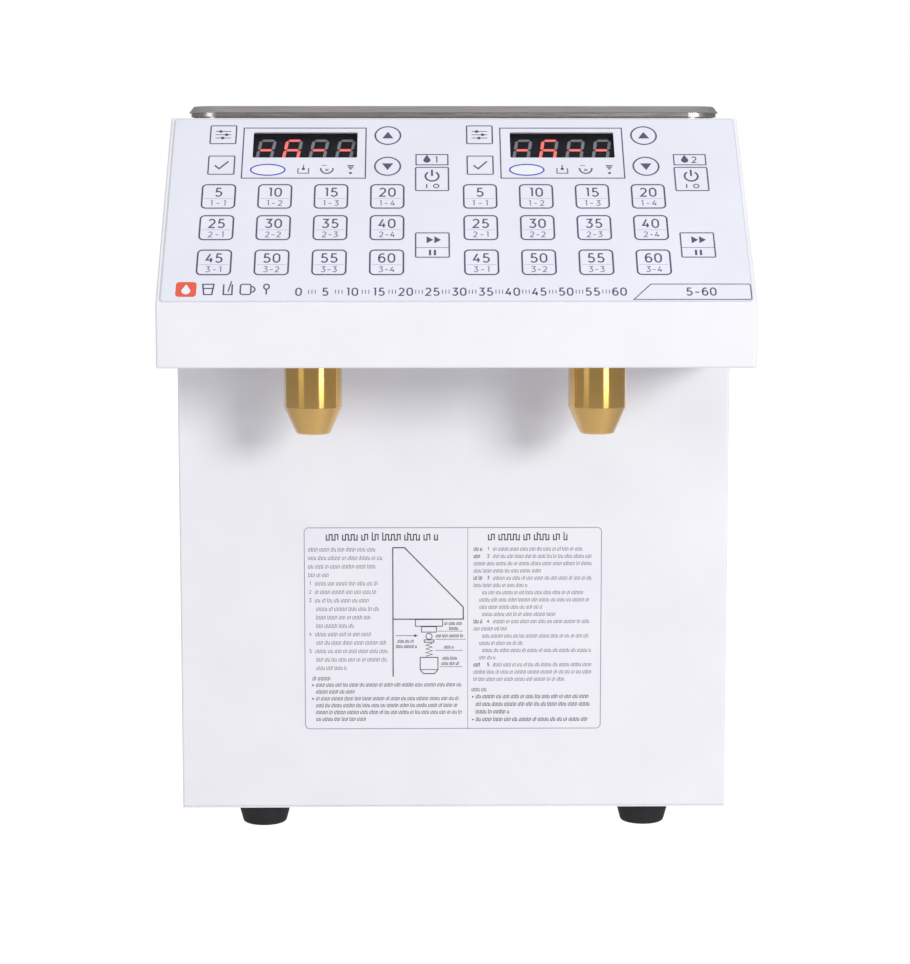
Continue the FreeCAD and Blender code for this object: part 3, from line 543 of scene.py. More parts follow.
ZINC_SCREW = MachinedMetal("zinc_plated_steel_dark", "#403B41", "#5A5459")
STEEL = MachinedMetal("machined_stainless", "#8E8C8C", "#A7A5A4")
PIN_NICKEL = MachinedMetal("nickel_plated_brass", "#A19C92", "#B8B3A8")
BOARD = SolderMask("green_solder_mask", "#1F7040", "#14502C")
SEGMENT_DARK = LitSegment("segment_dark", "#83838A", "#8B8B90")
SEGMENT_LIT = LitSegment("segment_lit", "#EA746C", "#F07C74",
                         own={"Emission Color": linear("#FF5A50"), "Emission Strength": 0.55})
PANE = ClearFilm("clear_window_film", "#2A2A33", "#2A2A33")
FLOOR_BOARD = PaleBoard("pale_floor_board", "#4E4E4E", "#565656")

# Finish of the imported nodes, by the start of their names; the first that fits is taken
COATS: tuple[tuple[Finish, tuple[str, ...]], ...] = (
    (WHITE_PAINT, ("body_shell", "chassis", "head_")),
    (ZINC_SCREW, ("casing_screws",)),
    (LID_STEEL, ("tank_lid",)),
    (TANK_STEEL, ("tank",)),
    (FILM, ("keypad_overlay", "key_")),
    (STEEL, ("valve_plug", "gear_pumps")),
    (BRASS, ("nozzle_bodies",)),
    (GEAR_BRASS, ("drive_gear", "driven_gear")),
    (SILICONE, ("syrup_hoses",)),
    (BOARD, ("circuit_boards",)),
    (RUBBER, ("rubber_feet",)),
    (NYLON, ("power_inlet",)),
)


def coat_nodes() -> None:
    """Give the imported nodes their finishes."""
    for node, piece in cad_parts.items():
        finish = next((finish for finish, starts in COATS if node.startswith(starts)), None)
        if finish is None:
            continue
        for slot in piece.material_slots:
            slot.material = finish.material()
        if not piece.material_slots:
            piece.data.materials.append(finish.material())
        log.info("finish %s on %s", finish.name, node)


# Planes and flat print


@dataclass
class Plane:
    """A flat place on the machine, drawn on in millimetres.

    Its matrix carries (across, up, outwards) to the machine's own frame in metres.
    """

    matrix: Matrix

    @classmethod
    def slope(cls, fold_angle: float = 45.0, lip_height: float = 39.2) -> "Plane":
        """Plane of the sloped panel, with its origin at the lower fold, under the keypad film.

        Args:
            fold_angle: Angle between the slope and the floor, in degrees.
            lip_height: Height of the upright lip below the fold, in millimetres.

        Returns:
            The plane, with across along +X.
        """
        low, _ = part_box("head_cover")
        angle = math.radians(fold_angle)
        across, up = Vector((1, 0, 0)), Vector((0, math.cos(angle), math.sin(angle)))
        return cls.of(Vector((0, low.y, low.z + lip_height * MM)), across, up)

    @classmethod
    def of(cls, origin: Vector, across: Vector, up: Vector) -> "Plane":
        """Plane from its origin and two directions."""
        out = across.cross(up)
        rows = [[MM * across[i], MM * up[i], MM * out[i], origin[i]] for i in range(3)]
        return cls(Matrix(rows + [[0, 0, 0, 1]]))

    def local(self, point: Vector) -> Vector:
        """Where a point of the machine lies, in millimetres across, up and outwards."""
        return self.matrix.inverted() @ point

    def middle(self, node: str) -> Vector:
        """Middle of a node's box, in this plane's millimetres."""
        low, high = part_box(node)
        return self.local((low + high) / 2)


class Print:
    """Flat shapes gathered in one plane and laid as one thin mesh."""

    SAME_POINT = 1e-6
    SHARPEST_MITRE = 0.45

    def __init__(self) -> None:
        """Start with nothing drawn."""
        self.points: list[Point] = []
        self.faces: list[tuple[int, ...]] = []

    def fill(self, outline: Sequence[Point]) -> None:
        """Fill one simple outline."""
        start = len(self.points)
        self.points += list(outline)
        self.faces.append(tuple(range(start, start + len(outline))))

    def stroke(self, path: Sequence[Point], width: float, closed: bool = False) -> None:
        """Draw a line of one width with mitred corners.

        Args:
            path: Points in order.
            width: Line width in millimetres.
            closed: Whether the last point joins the first.
        """
        path = [p for i, p in enumerate(path) if i == 0 or math.dist(p, path[i - 1]) > self.SAME_POINT]
        if closed and math.dist(path[0], path[-1]) < self.SAME_POINT:
            path = path[:-1]
        count = len(path)
        start = len(self.points)
        for i, (x, y) in enumerate(path):
            before = path[i - 1] if i or closed else path[i]
            after = path[(i + 1) % count] if i < count - 1 or closed else path[i]
            a = Vector((x - before[0], y - before[1]))
            b = Vector((after[0] - x, after[1] - y))
            a = a.normalized() if a.length else b.normalized()
            b = b.normalized() if b.length else a
            along = (a + b).normalized() if (a + b).length > self.SAME_POINT else a
            reach = width / 2 / max(self.SHARPEST_MITRE, along.dot(a))
            self.points += [(x - along.y * reach, y + along.x * reach), (x + along.y * reach, y - along.x * reach)]
        for i in range(count if closed else count - 1):
            here, ahead = start + 2 * i, start + 2 * ((i + 1) % count)
            self.faces.append((here, here + 1, ahead + 1, ahead))

    def frame(self, x: float, y: float, width: float, height: float, corner: float, line: float) -> None:
        """Outline a rounded rectangle, with the line inside its size."""
        path = rounded_rectangle(x, y, width - line, height - line, max(0.0, corner - line / 2))
        self.stroke(path, line, closed=True)

    def disc(self, x: float, y: float, rx: float, ry: float) -> None:
        """Fill an ellipse."""
        self.fill(oval(x, y, rx, ry))

    def ring(self, x: float, y: float, rx: float, ry: float, line: float) -> None:
        """Outline an ellipse, with the line inside its size."""
        self.stroke(oval(x, y, rx - line / 2, ry - line / 2, 8), line, closed=True)

    def draw(self, sign: Sequence["Mark"], x: float = 0.0, y: float = 0.0, flip: int = 1) -> None:
        """Draw a sign.

        Args:
            sign: Its marks.
            x: Place of its middle across.
            y: Place of its middle up.
            flip: -1 turns it upside down.
        """
        for mark in sign:
            path = [(x + u, y + flip * v) for u, v in mark.path]
            if mark.line:
                self.stroke(path, mark.line, mark.closed)
            else:
                self.fill(path)

    def lay(self, name: str, plane: Plane, lift: float, finish: Finish, body: str) -> Piece:
        """Lay the drawn shapes on a plane.

        Args:
            name: The piece's name.
            plane: The plane that they are drawn in.
            lift: Height above the plane's zero, in millimetres.
            finish: The ink.
            body: The body that carries them.

        Returns:
            The new piece.
        """
        vertices = [plane.matrix @ Vector((x, y, lift)) for x, y in self.points]
        return shown(name, mesh_of(name, vertices, self.faces), finish, body)


class Numerals:
    """Numerals of a wide geometric hand, drawn as strokes in a unit cell."""

    CELL_SHARE = 0.6
    GAP_SHARE = 0.13
    WIDTH_SHARES = {"1": 0.6, "-": 0.9}

    STROKES: dict[str, list[list[Point]]] = {
        "0": [arc(0.5, 0.66, 0.5, 0.34, 0, 180) + arc(0.5, 0.34, 0.5, 0.34, 180, 360) + [(1, 0.66)]],
        "1": [[(0.05, 1.0), (0.75, 1.0), (0.75, 0.0)]],
        "2": [arc(0.48, 0.71, 0.46, 0.29, 155, -32) + [(0.04, 0.0), (1.0, 0.0)]],
        "3": [[(0.06, 1.0), (0.92, 1.0), (0.46, 0.58)] + arc(0.44, 0.29, 0.52, 0.29, 85, -148)],
        "4": [[(0.62, 1.0), (0.0, 0.26), (1.02, 0.26)], [(0.74, 0.52), (0.74, 0.0)]],
        "5": [[(0.9, 1.0), (0.2, 1.0), (0.12, 0.56)] + arc(0.45, 0.3, 0.51, 0.3, 100, -148)],
        "6": [arc(0.6, 0.5, 0.6, 0.5, 62, 190), arc(0.5, 0.31, 0.48, 0.31, 0, 360)],
        "-": [[(0.05, 0.42), (0.95, 0.42)]],
    }

    @classmethod
    def write(cls, ink: Print, text: str, x: float, y: float, height: float, line: float,
              span: float = 0.0) -> None:
        """Write numerals centred on x with their feet at y.

        Args:
            ink: The print that takes the strokes.
            text: Numerals 0 to 6 and the dash.
            x: Middle of the text across.
            y: Foot of the text.
            height: Height of a numeral.
            line: Stroke width.
            span: Overall width that the text is spread over, or 0 for its own.
        """
        widths = [height * cls.CELL_SHARE * cls.WIDTH_SHARES.get(c, 1.0) for c in text]
        gap = (span - sum(widths)) / (len(text) - 1) if span else height * cls.GAP_SHARE
        left = x - (sum(widths) + gap * (len(text) - 1)) / 2
        for character, width in zip(text, widths):
            for path in cls.STROKES[character]:
                placed = [(left + line / 2 + u * (width - line), y + line / 2 + v * (height - line)) for u, v in path]
                ink.stroke(placed, line)
            left += width + gap


class Scribble:
    """Unreadable stand-in for lines of small print: words of plain upright strokes."""

    WORD_STROKES = (3, 9)
    PITCH_SHARE = 0.52
    SPACE_SHARE = 0.85
    TALL_SHARE = 1.4
    TALL_CHANCE = 0.5

    def __init__(self, seed: int) -> None:
        """Start from a fixed seed, so that each run is the same."""
        self.dice = random.Random(seed)

    def words(self, ink: Print, x0: float, x1: float, y: float, height: float, line: float) -> None:
        """Fill a line with words of uneven length.

        Args:
            ink: The print that takes the strokes.
            x0: Left end.
            x1: Right end.
            y: Foot of the line.
            height: Height of the small strokes.
            line: Stroke width.
        """
        pitch = height * self.PITCH_SHARE
        x = x0
        while x < x1 - pitch:
            strokes = min(self.dice.randint(*self.WORD_STROKES), int((x1 - x) / pitch))
            if strokes < 2:
                return
            path: list[Point] = []
            for i in range(strokes):
                low, high = (y, y + height) if i % 2 else (y + height, y)
                path += [(x + i * pitch, low), (x + i * pitch, high)]
            ink.stroke(path, line)
            if self.dice.random() < self.TALL_CHANCE:
                tall = x + pitch * self.dice.randrange(strokes)
                ink.stroke([(tall, y + height), (tall, y + height * self.TALL_SHARE)], line)
            x += (strokes - 1) * pitch + height * self.SPACE_SHARE


# Signs, in millimetres from the middle of each


@dataclass(frozen=True)
class Mark:
    """One shape of a sign: a line of its own width, or a filled outline where the width is 0."""

    path: Sequence[Point]
    line: float = 0.0
    closed: bool = False


SIGNS: dict[str, list[Mark]] = {
    # Keys
    "sliders": [mark for row, knob in ((3.0, -1.8), (0.0, 2.0), (-3.0, -0.4))
                for mark in (Mark([(-5.0, row), (5.0, row)], 0.6), Mark(oval(knob, row, 1.15, 1.15)))],
    "tick": [Mark([(-4.2, -0.2), (-1.3, -3.2), (4.4, 3.4)], 1.1)],
    "arrow": [Mark([(-3.6, -2.6), (3.6, -2.6), (0.0, 3.4)])],
    "power": [Mark(arc(0.0, 2.4, 4.2, 4.2, 125, 415), 1.2), Mark([(0.0, 2.6), (0.0, 8.2)], 1.2),
              Mark([(-3.4, -8.0), (-3.4, -4.6)], 0.8), Mark(oval(2.6, -6.3, 1.625, 1.625, 8), 0.75, True)],
    "run": [*(Mark([(x, 1.4), (x + 4.2, 4.4), (x, 7.4)]) for x in (-3.6, 1.2)),
            *(Mark(rounded_rectangle(x, -6.4, 1.4, 4.6, 0.0)) for x in (-1.5, 1.5))],
    # Round each display: a tray under a drop, a bowl with a cross, and bars down to a dot
    "tray": [Mark([(-2.7, 1.0), (-3.4, 1.0), (-3.4, -3.0), (3.4, -3.0), (3.4, 1.0), (2.7, 1.0)], 0.65),
             Mark([(0.0, 4.4), (0.0, 1.0)], 0.65), Mark(oval(0.0, 0.8, 1.05, 1.05))],
    "bowl": [Mark(arc(0.0, 1.2, 3.9, 4.4, 175, 365), 1.0), Mark([(-1.1, 1.0), (1.1, -1.2)], 0.5),
             Mark([(-1.1, -1.2), (1.1, 1.0)], 0.5), Mark([(-3.4, 3.9), (-0.2, 3.9)], 0.45)],
    "level": [*(Mark([(-half, row), (half, row)], 0.95) for row, half in ((3.7, 2.1), (2.3, 1.6), (0.9, 1.0))),
              Mark(oval(0.0, -2.8, 0.95, 0.95))],
    "channel": [Mark(arc(0.0, 0.0, 2.3, 2.3, 140, 400) + [(0.0, 4.83)])],
    # Title strip
    "drop": [Mark(arc(0.0, -1.3, 2.7, 2.7, 140, 400) + [(0.0, 4.2)])],
    "cup": [Mark([(-3.4, 4.2), (-2.4, -4.2), (2.4, -4.2), (3.4, 4.2)], 0.95, True),
            Mark([(-2.9, 0.8), (2.9, 0.8)], 0.95)],
    "glass": [Mark([(-2.6, 4.2), (-2.6, -4.2), (2.6, -4.2), (2.6, 4.2)], 0.95),
              Mark([(0.2, -2.0), (2.0, 6.8)], 0.8)],
    "jug": [Mark(rounded_rectangle(-0.8, 0.0, 6.4, 8.4, 1.4), 0.95, True),
            Mark(arc(2.6, 0.0, 2.2, 2.4, 80, -80), 0.95)],
    "spoon": [Mark([(0.0, -4.2), (0.0, 0.2)], 0.95), Mark(oval(0.0, 2.2, 1.625, 2.125, 8), 0.95, True)],
}


# Sub-assemblies


@dataclass
class Nozzle:
    """Screw-on nozzle and the spring inside it, in millimetres."""

    side: str
    body_radius: float = 18.5
    tip_radius: float = 10.75
    knee_drop: float = 27.1
    edge: float = 0.9
    edge_share: float = 0.98
    edge_angles: tuple[float, ...] = (20, 40, 60)
    knee_shares: Point = (0.3, 0.4)
    thread_bore: float = 12.08
    chamber: float = 8.0
    outlet: float = 4.0
    seat_rise: float = 25.8
    floor_rise: float = 9.1
    chamfer: float = 0.35
    crisp_angle: float = 18.0
    travel: float = 3.1

    @property
    def cap(self) -> str:
        """Name of the cap's node, which is also its body's name."""
        return "nozzle_cap_" + self.side

    def build(self) -> None:
        """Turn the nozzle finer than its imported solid, to the same sizes."""
        low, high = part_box(self.cap)
        tip, top = low.z / MM, high.z / MM
        knee = top - self.knee_drop
        c, e = self.chamfer, self.edge
        slant = math.atan2(self.body_radius - self.tip_radius, knee - tip)
        outline = [(self.outlet, tip), (self.tip_radius - e, tip)]
        outline += [(self.tip_radius - e + e * math.sin(a) * self.edge_share,
                     tip + e * (1 - math.cos(a)) * self.edge_share) for a in map(math.radians, self.edge_angles)]
        outline += [
            (self.tip_radius + e * math.tan(slant), tip + e),
            (self.body_radius - c * self.knee_shares[0], knee - c),
            (self.body_radius, knee + c * self.knee_shares[1]),
            (self.body_radius, top - c),
            (self.body_radius - c, top),
            (self.thread_bore, top),
            (self.thread_bore, tip + self.seat_rise),
            (self.chamber, tip + self.seat_rise),
            (self.chamber, tip + self.floor_rise),
            (self.outlet, tip + self.floor_rise),
        ]
        name = "turned_nozzle_" + self.side
        mesh = turned_mesh(name, [(r * MM, z * MM) for r, z in outline], (low.x + high.x) / 2, (low.y + high.y) / 2)
        piece = shown(name, mesh, BRASS, self.cap)
        mesh.materials.append(SATIN_BRASS.material())
        for face in mesh.polygons:
            face.material_index = int(face.center.z < (knee - c / 2) * MM)
        mesh.set_sharp_from_angle(angle=math.radians(self.crisp_angle))
        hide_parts(self.cap)
        log.info("nozzle %s turned", self.side)

    def spring(self) -> None:
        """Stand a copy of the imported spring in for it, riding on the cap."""
        node = "valve_spring_" + self.side
        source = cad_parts[node]
        mesh = source.data.copy()
        mesh.transform(source.matrix_world)
        mesh.materials.clear()
        piece = shown("spring_coil_" + self.side, mesh, STEEL, self.cap)
        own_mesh(piece)
        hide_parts(node)


class Segment(Enum):
    """Bars of a seven-segment digit: whether upright, then place, start and end in halves of the digit's size."""

    TOP = (False, 1, -1, 1)
    UPPER_RIGHT = (True, 1, 0, 1)
    LOWER_RIGHT = (True, 1, -1, 0)
    BOTTOM = (False, -1, -1, 1)
    LOWER_LEFT = (True, -1, -1, 0)
    UPPER_LEFT = (True, -1, 0, 1)
    MIDDLE = (False, 0, -1, 1)


DASH = frozenset({Segment.MIDDLE})
SIX = frozenset(Segment) - {Segment.UPPER_RIGHT}


@dataclass
class Display:
    """Four-digit display behind its window, with its clear pane, in millimetres."""

    side: str
    slope: Plane
    centre_x: float
    digit_row: float = 135.2
    window_row: float = 135.8
    face_width: float = 67.2
    face_height: float = 27.4
    face_corner: float = 0.6
    face_lift: float = -3.35
    dark_lift: float = 0.05
    lit_lift: float = 0.06
    pane_width: float = 66.5
    pane_height: float = 23.2
    pane_corner: float = 1.0
    pane_lift: float = 0.7
    digit_height: float = 19.4
    digit_width: float = 11.0
    digit_pitch: float = 16.9
    bar: float = 2.0
    gap: float = 0.35
    slant: float = 8.0
    point: float = 1.1
    point_shift: float = 1.9
    reading: tuple[frozenset[Segment], ...] = (DASH, SIX, DASH, DASH)

    def bar_outline(self, segment: Segment) -> list[Point]:
        """Outline of one bar about the digit's middle, before the slant."""
        t, g = self.bar / 2, self.gap
        w, h = self.digit_width / 2 - t, self.digit_height / 2 - t
        upright, place, start, end = segment.value
        along, across = (h, w) if upright else (w, h)
        row, low, high = place * across, start * along, end * along
        outline = [(low + g, row), (low + g + t, row + t), (high - g - t, row + t),
                   (high - g, row), (high - g - t, row - t), (low + g + t, row - t)]
        return [(y, x) for x, y in outline] if upright else outline

    def build(self) -> None:
        """Lay the dark face, the bars and the pane."""
        lean = math.tan(math.radians(self.slant))
        face, dark, lit, pane = Print(), Print(), Print(), Print()
        face.fill(rounded_rectangle(self.centre_x, self.window_row, self.face_width, self.face_height,
                                    self.face_corner))
        for i, bars in enumerate(self.reading):
            x = self.centre_x + (i - (len(self.reading) - 1) / 2) * self.digit_pitch
            for segment in Segment:
                outline = [(x + u + v * lean, self.digit_row + v) for u, v in self.bar_outline(segment)]
                (lit if segment in bars else dark).fill(outline)
            dark.disc(x + self.digit_width / 2 + self.point_shift - self.digit_height / 2 * lean,
                      self.digit_row - self.digit_height / 2 + self.point, self.point, self.point)
        pane.fill(rounded_rectangle(self.centre_x, self.window_row, self.pane_width, self.pane_height,
                                    self.pane_corner))
        for ink, name, lift, finish in (
                (face, "display_face_", self.face_lift, DISPLAY_EPOXY),
                (dark, "display_bars_dark_", self.face_lift + self.dark_lift, SEGMENT_DARK),
                (lit, "display_bars_lit_", self.face_lift + self.lit_lift, SEGMENT_LIT),
                (pane, "window_pane_", self.pane_lift, PANE)):
            ink.lay(name + self.side, self.slope, lift, finish, ROOT)
        log.info("display %s laid", self.side)


DOSES = range(0, 65, 5)  # Marks of the dose scale, which has a key for each but the first


@dataclass(frozen=True)
class KeyForm:
    """How a key with a sign is printed: in a frame of some corner radius, or in a ring where that is 0."""

    sign: str
    corner: float = 0.0
    inset: float = 0.0
    flip: int = 1


@dataclass
class KeyBank:
    """Printed keys of one side, each print riding on its own key, in millimetres."""

    side: str
    slope: Plane
    film_top: float = 1.0
    lift: float = 0.03
    line: float = 0.95
    thin_line: float = 0.75
    hairline: float = 0.35
    dose_corner: float = 3.2
    numeral_height: float = 8.0
    numeral_line: float = 1.05
    numeral_foot: float = -0.4
    code_height: float = 5.0
    code_line: float = 0.65
    code_foot: float = -8.3
    code_span: float = 10.0
    columns: int = 4
    divider: float = -1.9
    divider_share: float = 0.42
    run_divider: float = -2.2
    run_inset: float = 0.8
    run_line: float = 0.5
    forms: ClassVar[dict[str, KeyForm]] = {
        "set": KeyForm("sliders", 1.0),
        "save": KeyForm("tick", 1.0),
        "up": KeyForm("arrow"),
        "down": KeyForm("arrow", flip=-1),
        "power": KeyForm("power", 0.9, 0.1),
        "run": KeyForm("run", 0.9, 0.1),
    }

    def node(self, key: str) -> str:
        """Name of a key's node, which is also its body's name."""
        return f"key_{self.side}_{key}"

    def place(self, key: str) -> Triple:
        """Centre across, centre up and width of a key."""
        low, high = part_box(self.node(key))
        middle = self.slope.middle(self.node(key))
        return middle.x, middle.y, (high.x - low.x) / MM

    @property
    def centre_x(self) -> float:
        """Middle of the bank, half-way between its first and last columns."""
        return (self.place("dose_05")[0] + self.place("power")[0]) / 2

    def lay(self, ink: Print, key: str, tag: str = "print", finish: Finish = INK) -> None:
        """Lay one key's print on the key."""
        ink.lay(f"{tag}_{self.side}_{key}", self.slope, self.film_top + self.lift, finish, self.node(key))

    def dose_key(self, index: int, amount: int) -> None:
        """Rounded square with its amount, a divider and its row and column."""
        key = f"dose_{amount:02d}"
        x, v, width = self.place(key)
        row, column = divmod(index, self.columns)
        ink, pale, hair = Print(), Print(), Print()
        ink.frame(x, v, width, width, self.dose_corner, self.line)
        Numerals.write(ink, str(amount), x, v + self.numeral_foot, self.numeral_height, self.numeral_line)
        Numerals.write(pale, f"{row + 1}-{column + 1}", x, v + self.code_foot, self.code_height, self.code_line,
                       self.code_span)
        reach = width * self.divider_share
        hair.stroke([(x - reach, v + self.divider), (x + reach, v + self.divider)], self.hairline)
        self.lay(ink, key)
        self.lay(pale, key, "code", THIN_INK)
        self.lay(hair, key, "divider", HAIR_INK)

    def sign_key(self, key: str, form: KeyForm) -> None:
        """Frame or ring with a sign in it."""
        x, v, width = self.place(key)
        ink = Print()
        if form.corner:
            ink.frame(x, v, width - form.inset, width - form.inset, form.corner, self.thin_line)
        else:
            ink.ring(x, v, width / 2, width / 2, self.line)
        ink.draw(SIGNS[form.sign], x, v, form.flip)
        self.lay(ink, key)

    def build(self) -> None:
        """Print every key of the bank."""
        for index, amount in enumerate(DOSES[1:]):
            self.dose_key(index, amount)
        for key, form in self.forms.items():
            self.sign_key(key, form)
        x, v, width = self.place("run")
        hair, reach = Print(), width / 2 - self.run_inset
        hair.stroke([(x - reach, v + self.run_divider), (x + reach, v + self.run_divider)], self.run_line)
        self.lay(hair, "run", "divider", THIN_INK)
        log.info("keys of the %s bank printed", self.side)


@dataclass
class BankGraphics:
    """What the film carries round one bank: display frame, oval, signs and channel box, in millimetres."""

    bank: KeyBank
    number: int
    slope: Plane
    film_top: float = 1.03
    line: float = 0.8
    corner: float = 0.3
    frame_size: Point = (79.0, 46.0)
    frame_shift: float = -14.3
    frame_row: float = 128.4
    oval_shift: float = -37.0
    oval_row: float = 113.2
    oval_width: float = 22.6
    oval_height: float = 10.6
    oval_line: float = 0.95
    oval_inset: float = 0.4
    oval_lift: float = 0.03
    sign_row: float = 113.2
    sign_shifts: ClassVar[dict[str, float]] = {"tray": -14.5, "bowl": 0.4, "level": 15.4}
    box_size: Point = (21.0, 10.0)
    box_row: float = 122.3
    drop_place: Point = (-3.2, -0.4)
    number_place: Point = (2.8, -2.9)
    number_height: float = 5.8
    number_line: float = 0.75

    def build(self) -> None:
        """Draw the bank's fixed print."""
        x = self.bank.centre_x
        ink, blue, white = Print(), Print(), Print()
        ink.frame(x + self.frame_shift, self.frame_row, *self.frame_size, self.corner, self.line)
        middle, rx, ry = x + self.oval_shift, self.oval_width / 2, self.oval_height / 2
        white.disc(middle, self.oval_row, rx - self.oval_inset, ry - self.oval_inset)
        blue.ring(middle, self.oval_row, rx, ry, self.oval_line)
        for sign, shift in self.sign_shifts.items():
            ink.draw(SIGNS[sign], x + shift, self.sign_row)
        box_x = self.bank.place("power")[0]
        ink.frame(box_x, self.box_row, *self.box_size, self.corner, self.line)
        ink.draw(SIGNS["channel"], box_x + self.drop_place[0], self.box_row + self.drop_place[1])
        Numerals.write(ink, str(self.number), box_x + self.number_place[0], self.box_row + self.number_place[1],
                       self.number_height, self.number_line)
        side = self.bank.side
        ink.lay("film_print_" + side, self.slope, self.film_top, INK, ROOT)
        white.lay("oval_fill_" + side, self.slope, self.film_top, WHITE_INK, ROOT)
        blue.lay("oval_ring_" + side, self.slope, self.film_top + self.oval_lift, BLUE_INK, ROOT)
        log.info("film print of the %s bank laid", side)


@dataclass
class TitleStrip:
    """Lowest strip of the film: a drop patch, pictograms, a dose scale and a slant-ended frame, in millimetres."""

    slope: Plane
    film_top: float = 1.03
    drop_lift: float = 0.03
    line: float = 0.95
    patch_x: float = -164.4
    patch_row: float = 10.8
    patch_size: Point = (12.6, 12.2)
    patch_corner: float = 2.2
    pictograms: ClassVar[dict[str, float]] = {"cup": -151.0, "glass": -139.0, "jug": -127.4, "spoon": -115.6}
    scale_start: float = -96.0
    scale_end: float = 99.0
    scale_row: float = 5.4
    numeral_height: float = 6.8
    tick: float = 3.2
    tick_line: float = 0.5
    tick_pitch: float = 2.0
    badge_left: float = 107.5
    badge_right: float = 179.2
    badge_low: float = 2.4
    badge_high: float = 15.0
    badge_slant: float = 11.0
    badge_corner: float = 1.2
    badge_line: float = 0.7
    badge_foot: float = 3.0

    def patch(self) -> None:
        """Orange rounded square with a plain white drop."""
        orange, white = Print(), Print()
        orange.fill(rounded_rectangle(self.patch_x, self.patch_row, *self.patch_size, self.patch_corner))
        white.draw(SIGNS["drop"], self.patch_x, self.patch_row)
        orange.lay("drop_patch", self.slope, self.film_top, ORANGE_INK, ROOT)
        white.lay("drop_patch_drop", self.slope, self.film_top + self.drop_lift, WHITE_INK, ROOT)

    def scale(self, ink: Print) -> None:
        """Scale of doses with three small ticks after each numeral but the last."""
        pitch = (self.scale_end - self.scale_start) / (len(DOSES) - 1)
        middle = self.scale_row + self.numeral_height / 2
        for i, amount in enumerate(DOSES):
            x = self.scale_start + i * pitch
            Numerals.write(ink, str(amount), x, self.scale_row, self.numeral_height, self.line)
            if amount == DOSES[-1]:
                break
            for j in (-1, 0, 1):
                tick_x = x + pitch / 2 + j * self.tick_pitch
                ink.stroke([(tick_x, middle - self.tick / 2), (tick_x, middle + self.tick / 2)], self.tick_line)

    def badge(self, ink: Print) -> None:
        """Slant-ended frame with the range of doses."""
        r, right, low, high = self.badge_corner, self.badge_right, self.badge_low, self.badge_high
        path = [(self.badge_left, low), (right - r, low)]
        path += arc(right - r, low + r, r, r, -90, 0) + arc(right - r, high - r, r, r, 0, 90)
        path += [(self.badge_left + self.badge_slant, high)]
        ink.stroke(path, self.badge_line, closed=True)
        middle = (self.badge_left + self.badge_slant + right) / 2
        Numerals.write(ink, "5-60", middle, low + self.badge_foot, self.numeral_height, self.line)

    def build(self) -> None:
        """Draw the strip."""
        ink = Print()
        for sign, x in self.pictograms.items():
            ink.draw(SIGNS[sign], x, self.patch_row)
        self.scale(ink)
        self.badge(ink)
        ink.lay("title_strip_print", self.slope, self.film_top, INK, ROOT)
        self.patch()
        log.info("title strip printed")


@dataclass
class Keypad:
    """Sloped keypad: two banks of keys, two displays, the print round them, and a painted shade line along the film's
    edge, in millimetres.
    """

    slope: Plane = field(default_factory=Plane.slope)
    window_shift: float = -13.8
    film_corner: float = 2.2
    edge_line: float = 0.35
    edge_inset: float = 0.05
    edge_lift: float = 1.02

    def cut_edge(self) -> None:
        """Draw painted shade of the film's thin edge, as a grey line a hair inside it."""
        edge = Print()
        low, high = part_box("keypad_overlay")
        foot = self.slope.matrix.translation
        # Rises and depths count by the root of two along a slope of 45 degrees
        start, end = [rise / MM * math.sqrt(2) for rise in (low.z - foot.z, high.y - foot.y)]
        edge.frame((low.x + high.x) / 2 / MM, (start + end) / 2, (high.x - low.x) / MM - 2 * self.edge_inset,
                   end - start - 2 * self.edge_inset, self.film_corner, self.edge_line)
        # The line is painted shade of the edge, not print on the film
        edge.lay("painted_film_edge_shade_line", self.slope, self.edge_lift, EDGE_SHADE, ROOT)

    def build(self) -> None:
        """Build both banks with their displays and print."""
        for number, side in enumerate(SIDES, start=1):
            bank = KeyBank(side, self.slope)
            bank.build()
            BankGraphics(bank, number, self.slope).build()
            Display(side, self.slope, bank.centre_x + self.window_shift).build()
        TitleStrip(self.slope).build()
        self.cut_edge()


# Care label, in millimetres from the middle of the body's lower front edge


@dataclass(frozen=True)
class Column:
    """Rows of small print in one column, some with a step number.

    Attributes:
        rows: Start, end and step number (or 0) of each row.
        top: Foot of the first row.
        pitch: Distance between rows.
        height: Height of the strokes.
        digit_height: Height of the step numbers.
        digit_line: Their stroke width, and that of the lead-in.
        digit_shift: Their place from the row's start.
        lead: Length of a bold lead-in before the number, or 0 where there is none.
        indent: Room that lead-in and number take up.
    """

    rows: tuple[tuple[float, float, int], ...]
    top: float
    pitch: float
    height: float
    digit_height: float
    digit_line: float
    digit_shift: float
    lead: float = 0.0
    indent: float = 0.0
    lead_height: ClassVar[float] = 1.8
    line: ClassVar[float] = 0.34

    def write(self, bold: Print, text: Print, scribble: Scribble) -> None:
        """Draw the rows."""
        for i, (start, end, number) in enumerate(self.rows):
            y = self.top - i * self.pitch
            if number:
                if self.lead:
                    scribble.words(bold, start, start + self.lead, y, self.lead_height, self.digit_line)
                Numerals.write(bold if self.lead else text, str(number), start + self.digit_shift, y,
                               self.digit_height, self.digit_line)
                start += self.indent
            scribble.words(text, start, end, y, self.height, self.line)


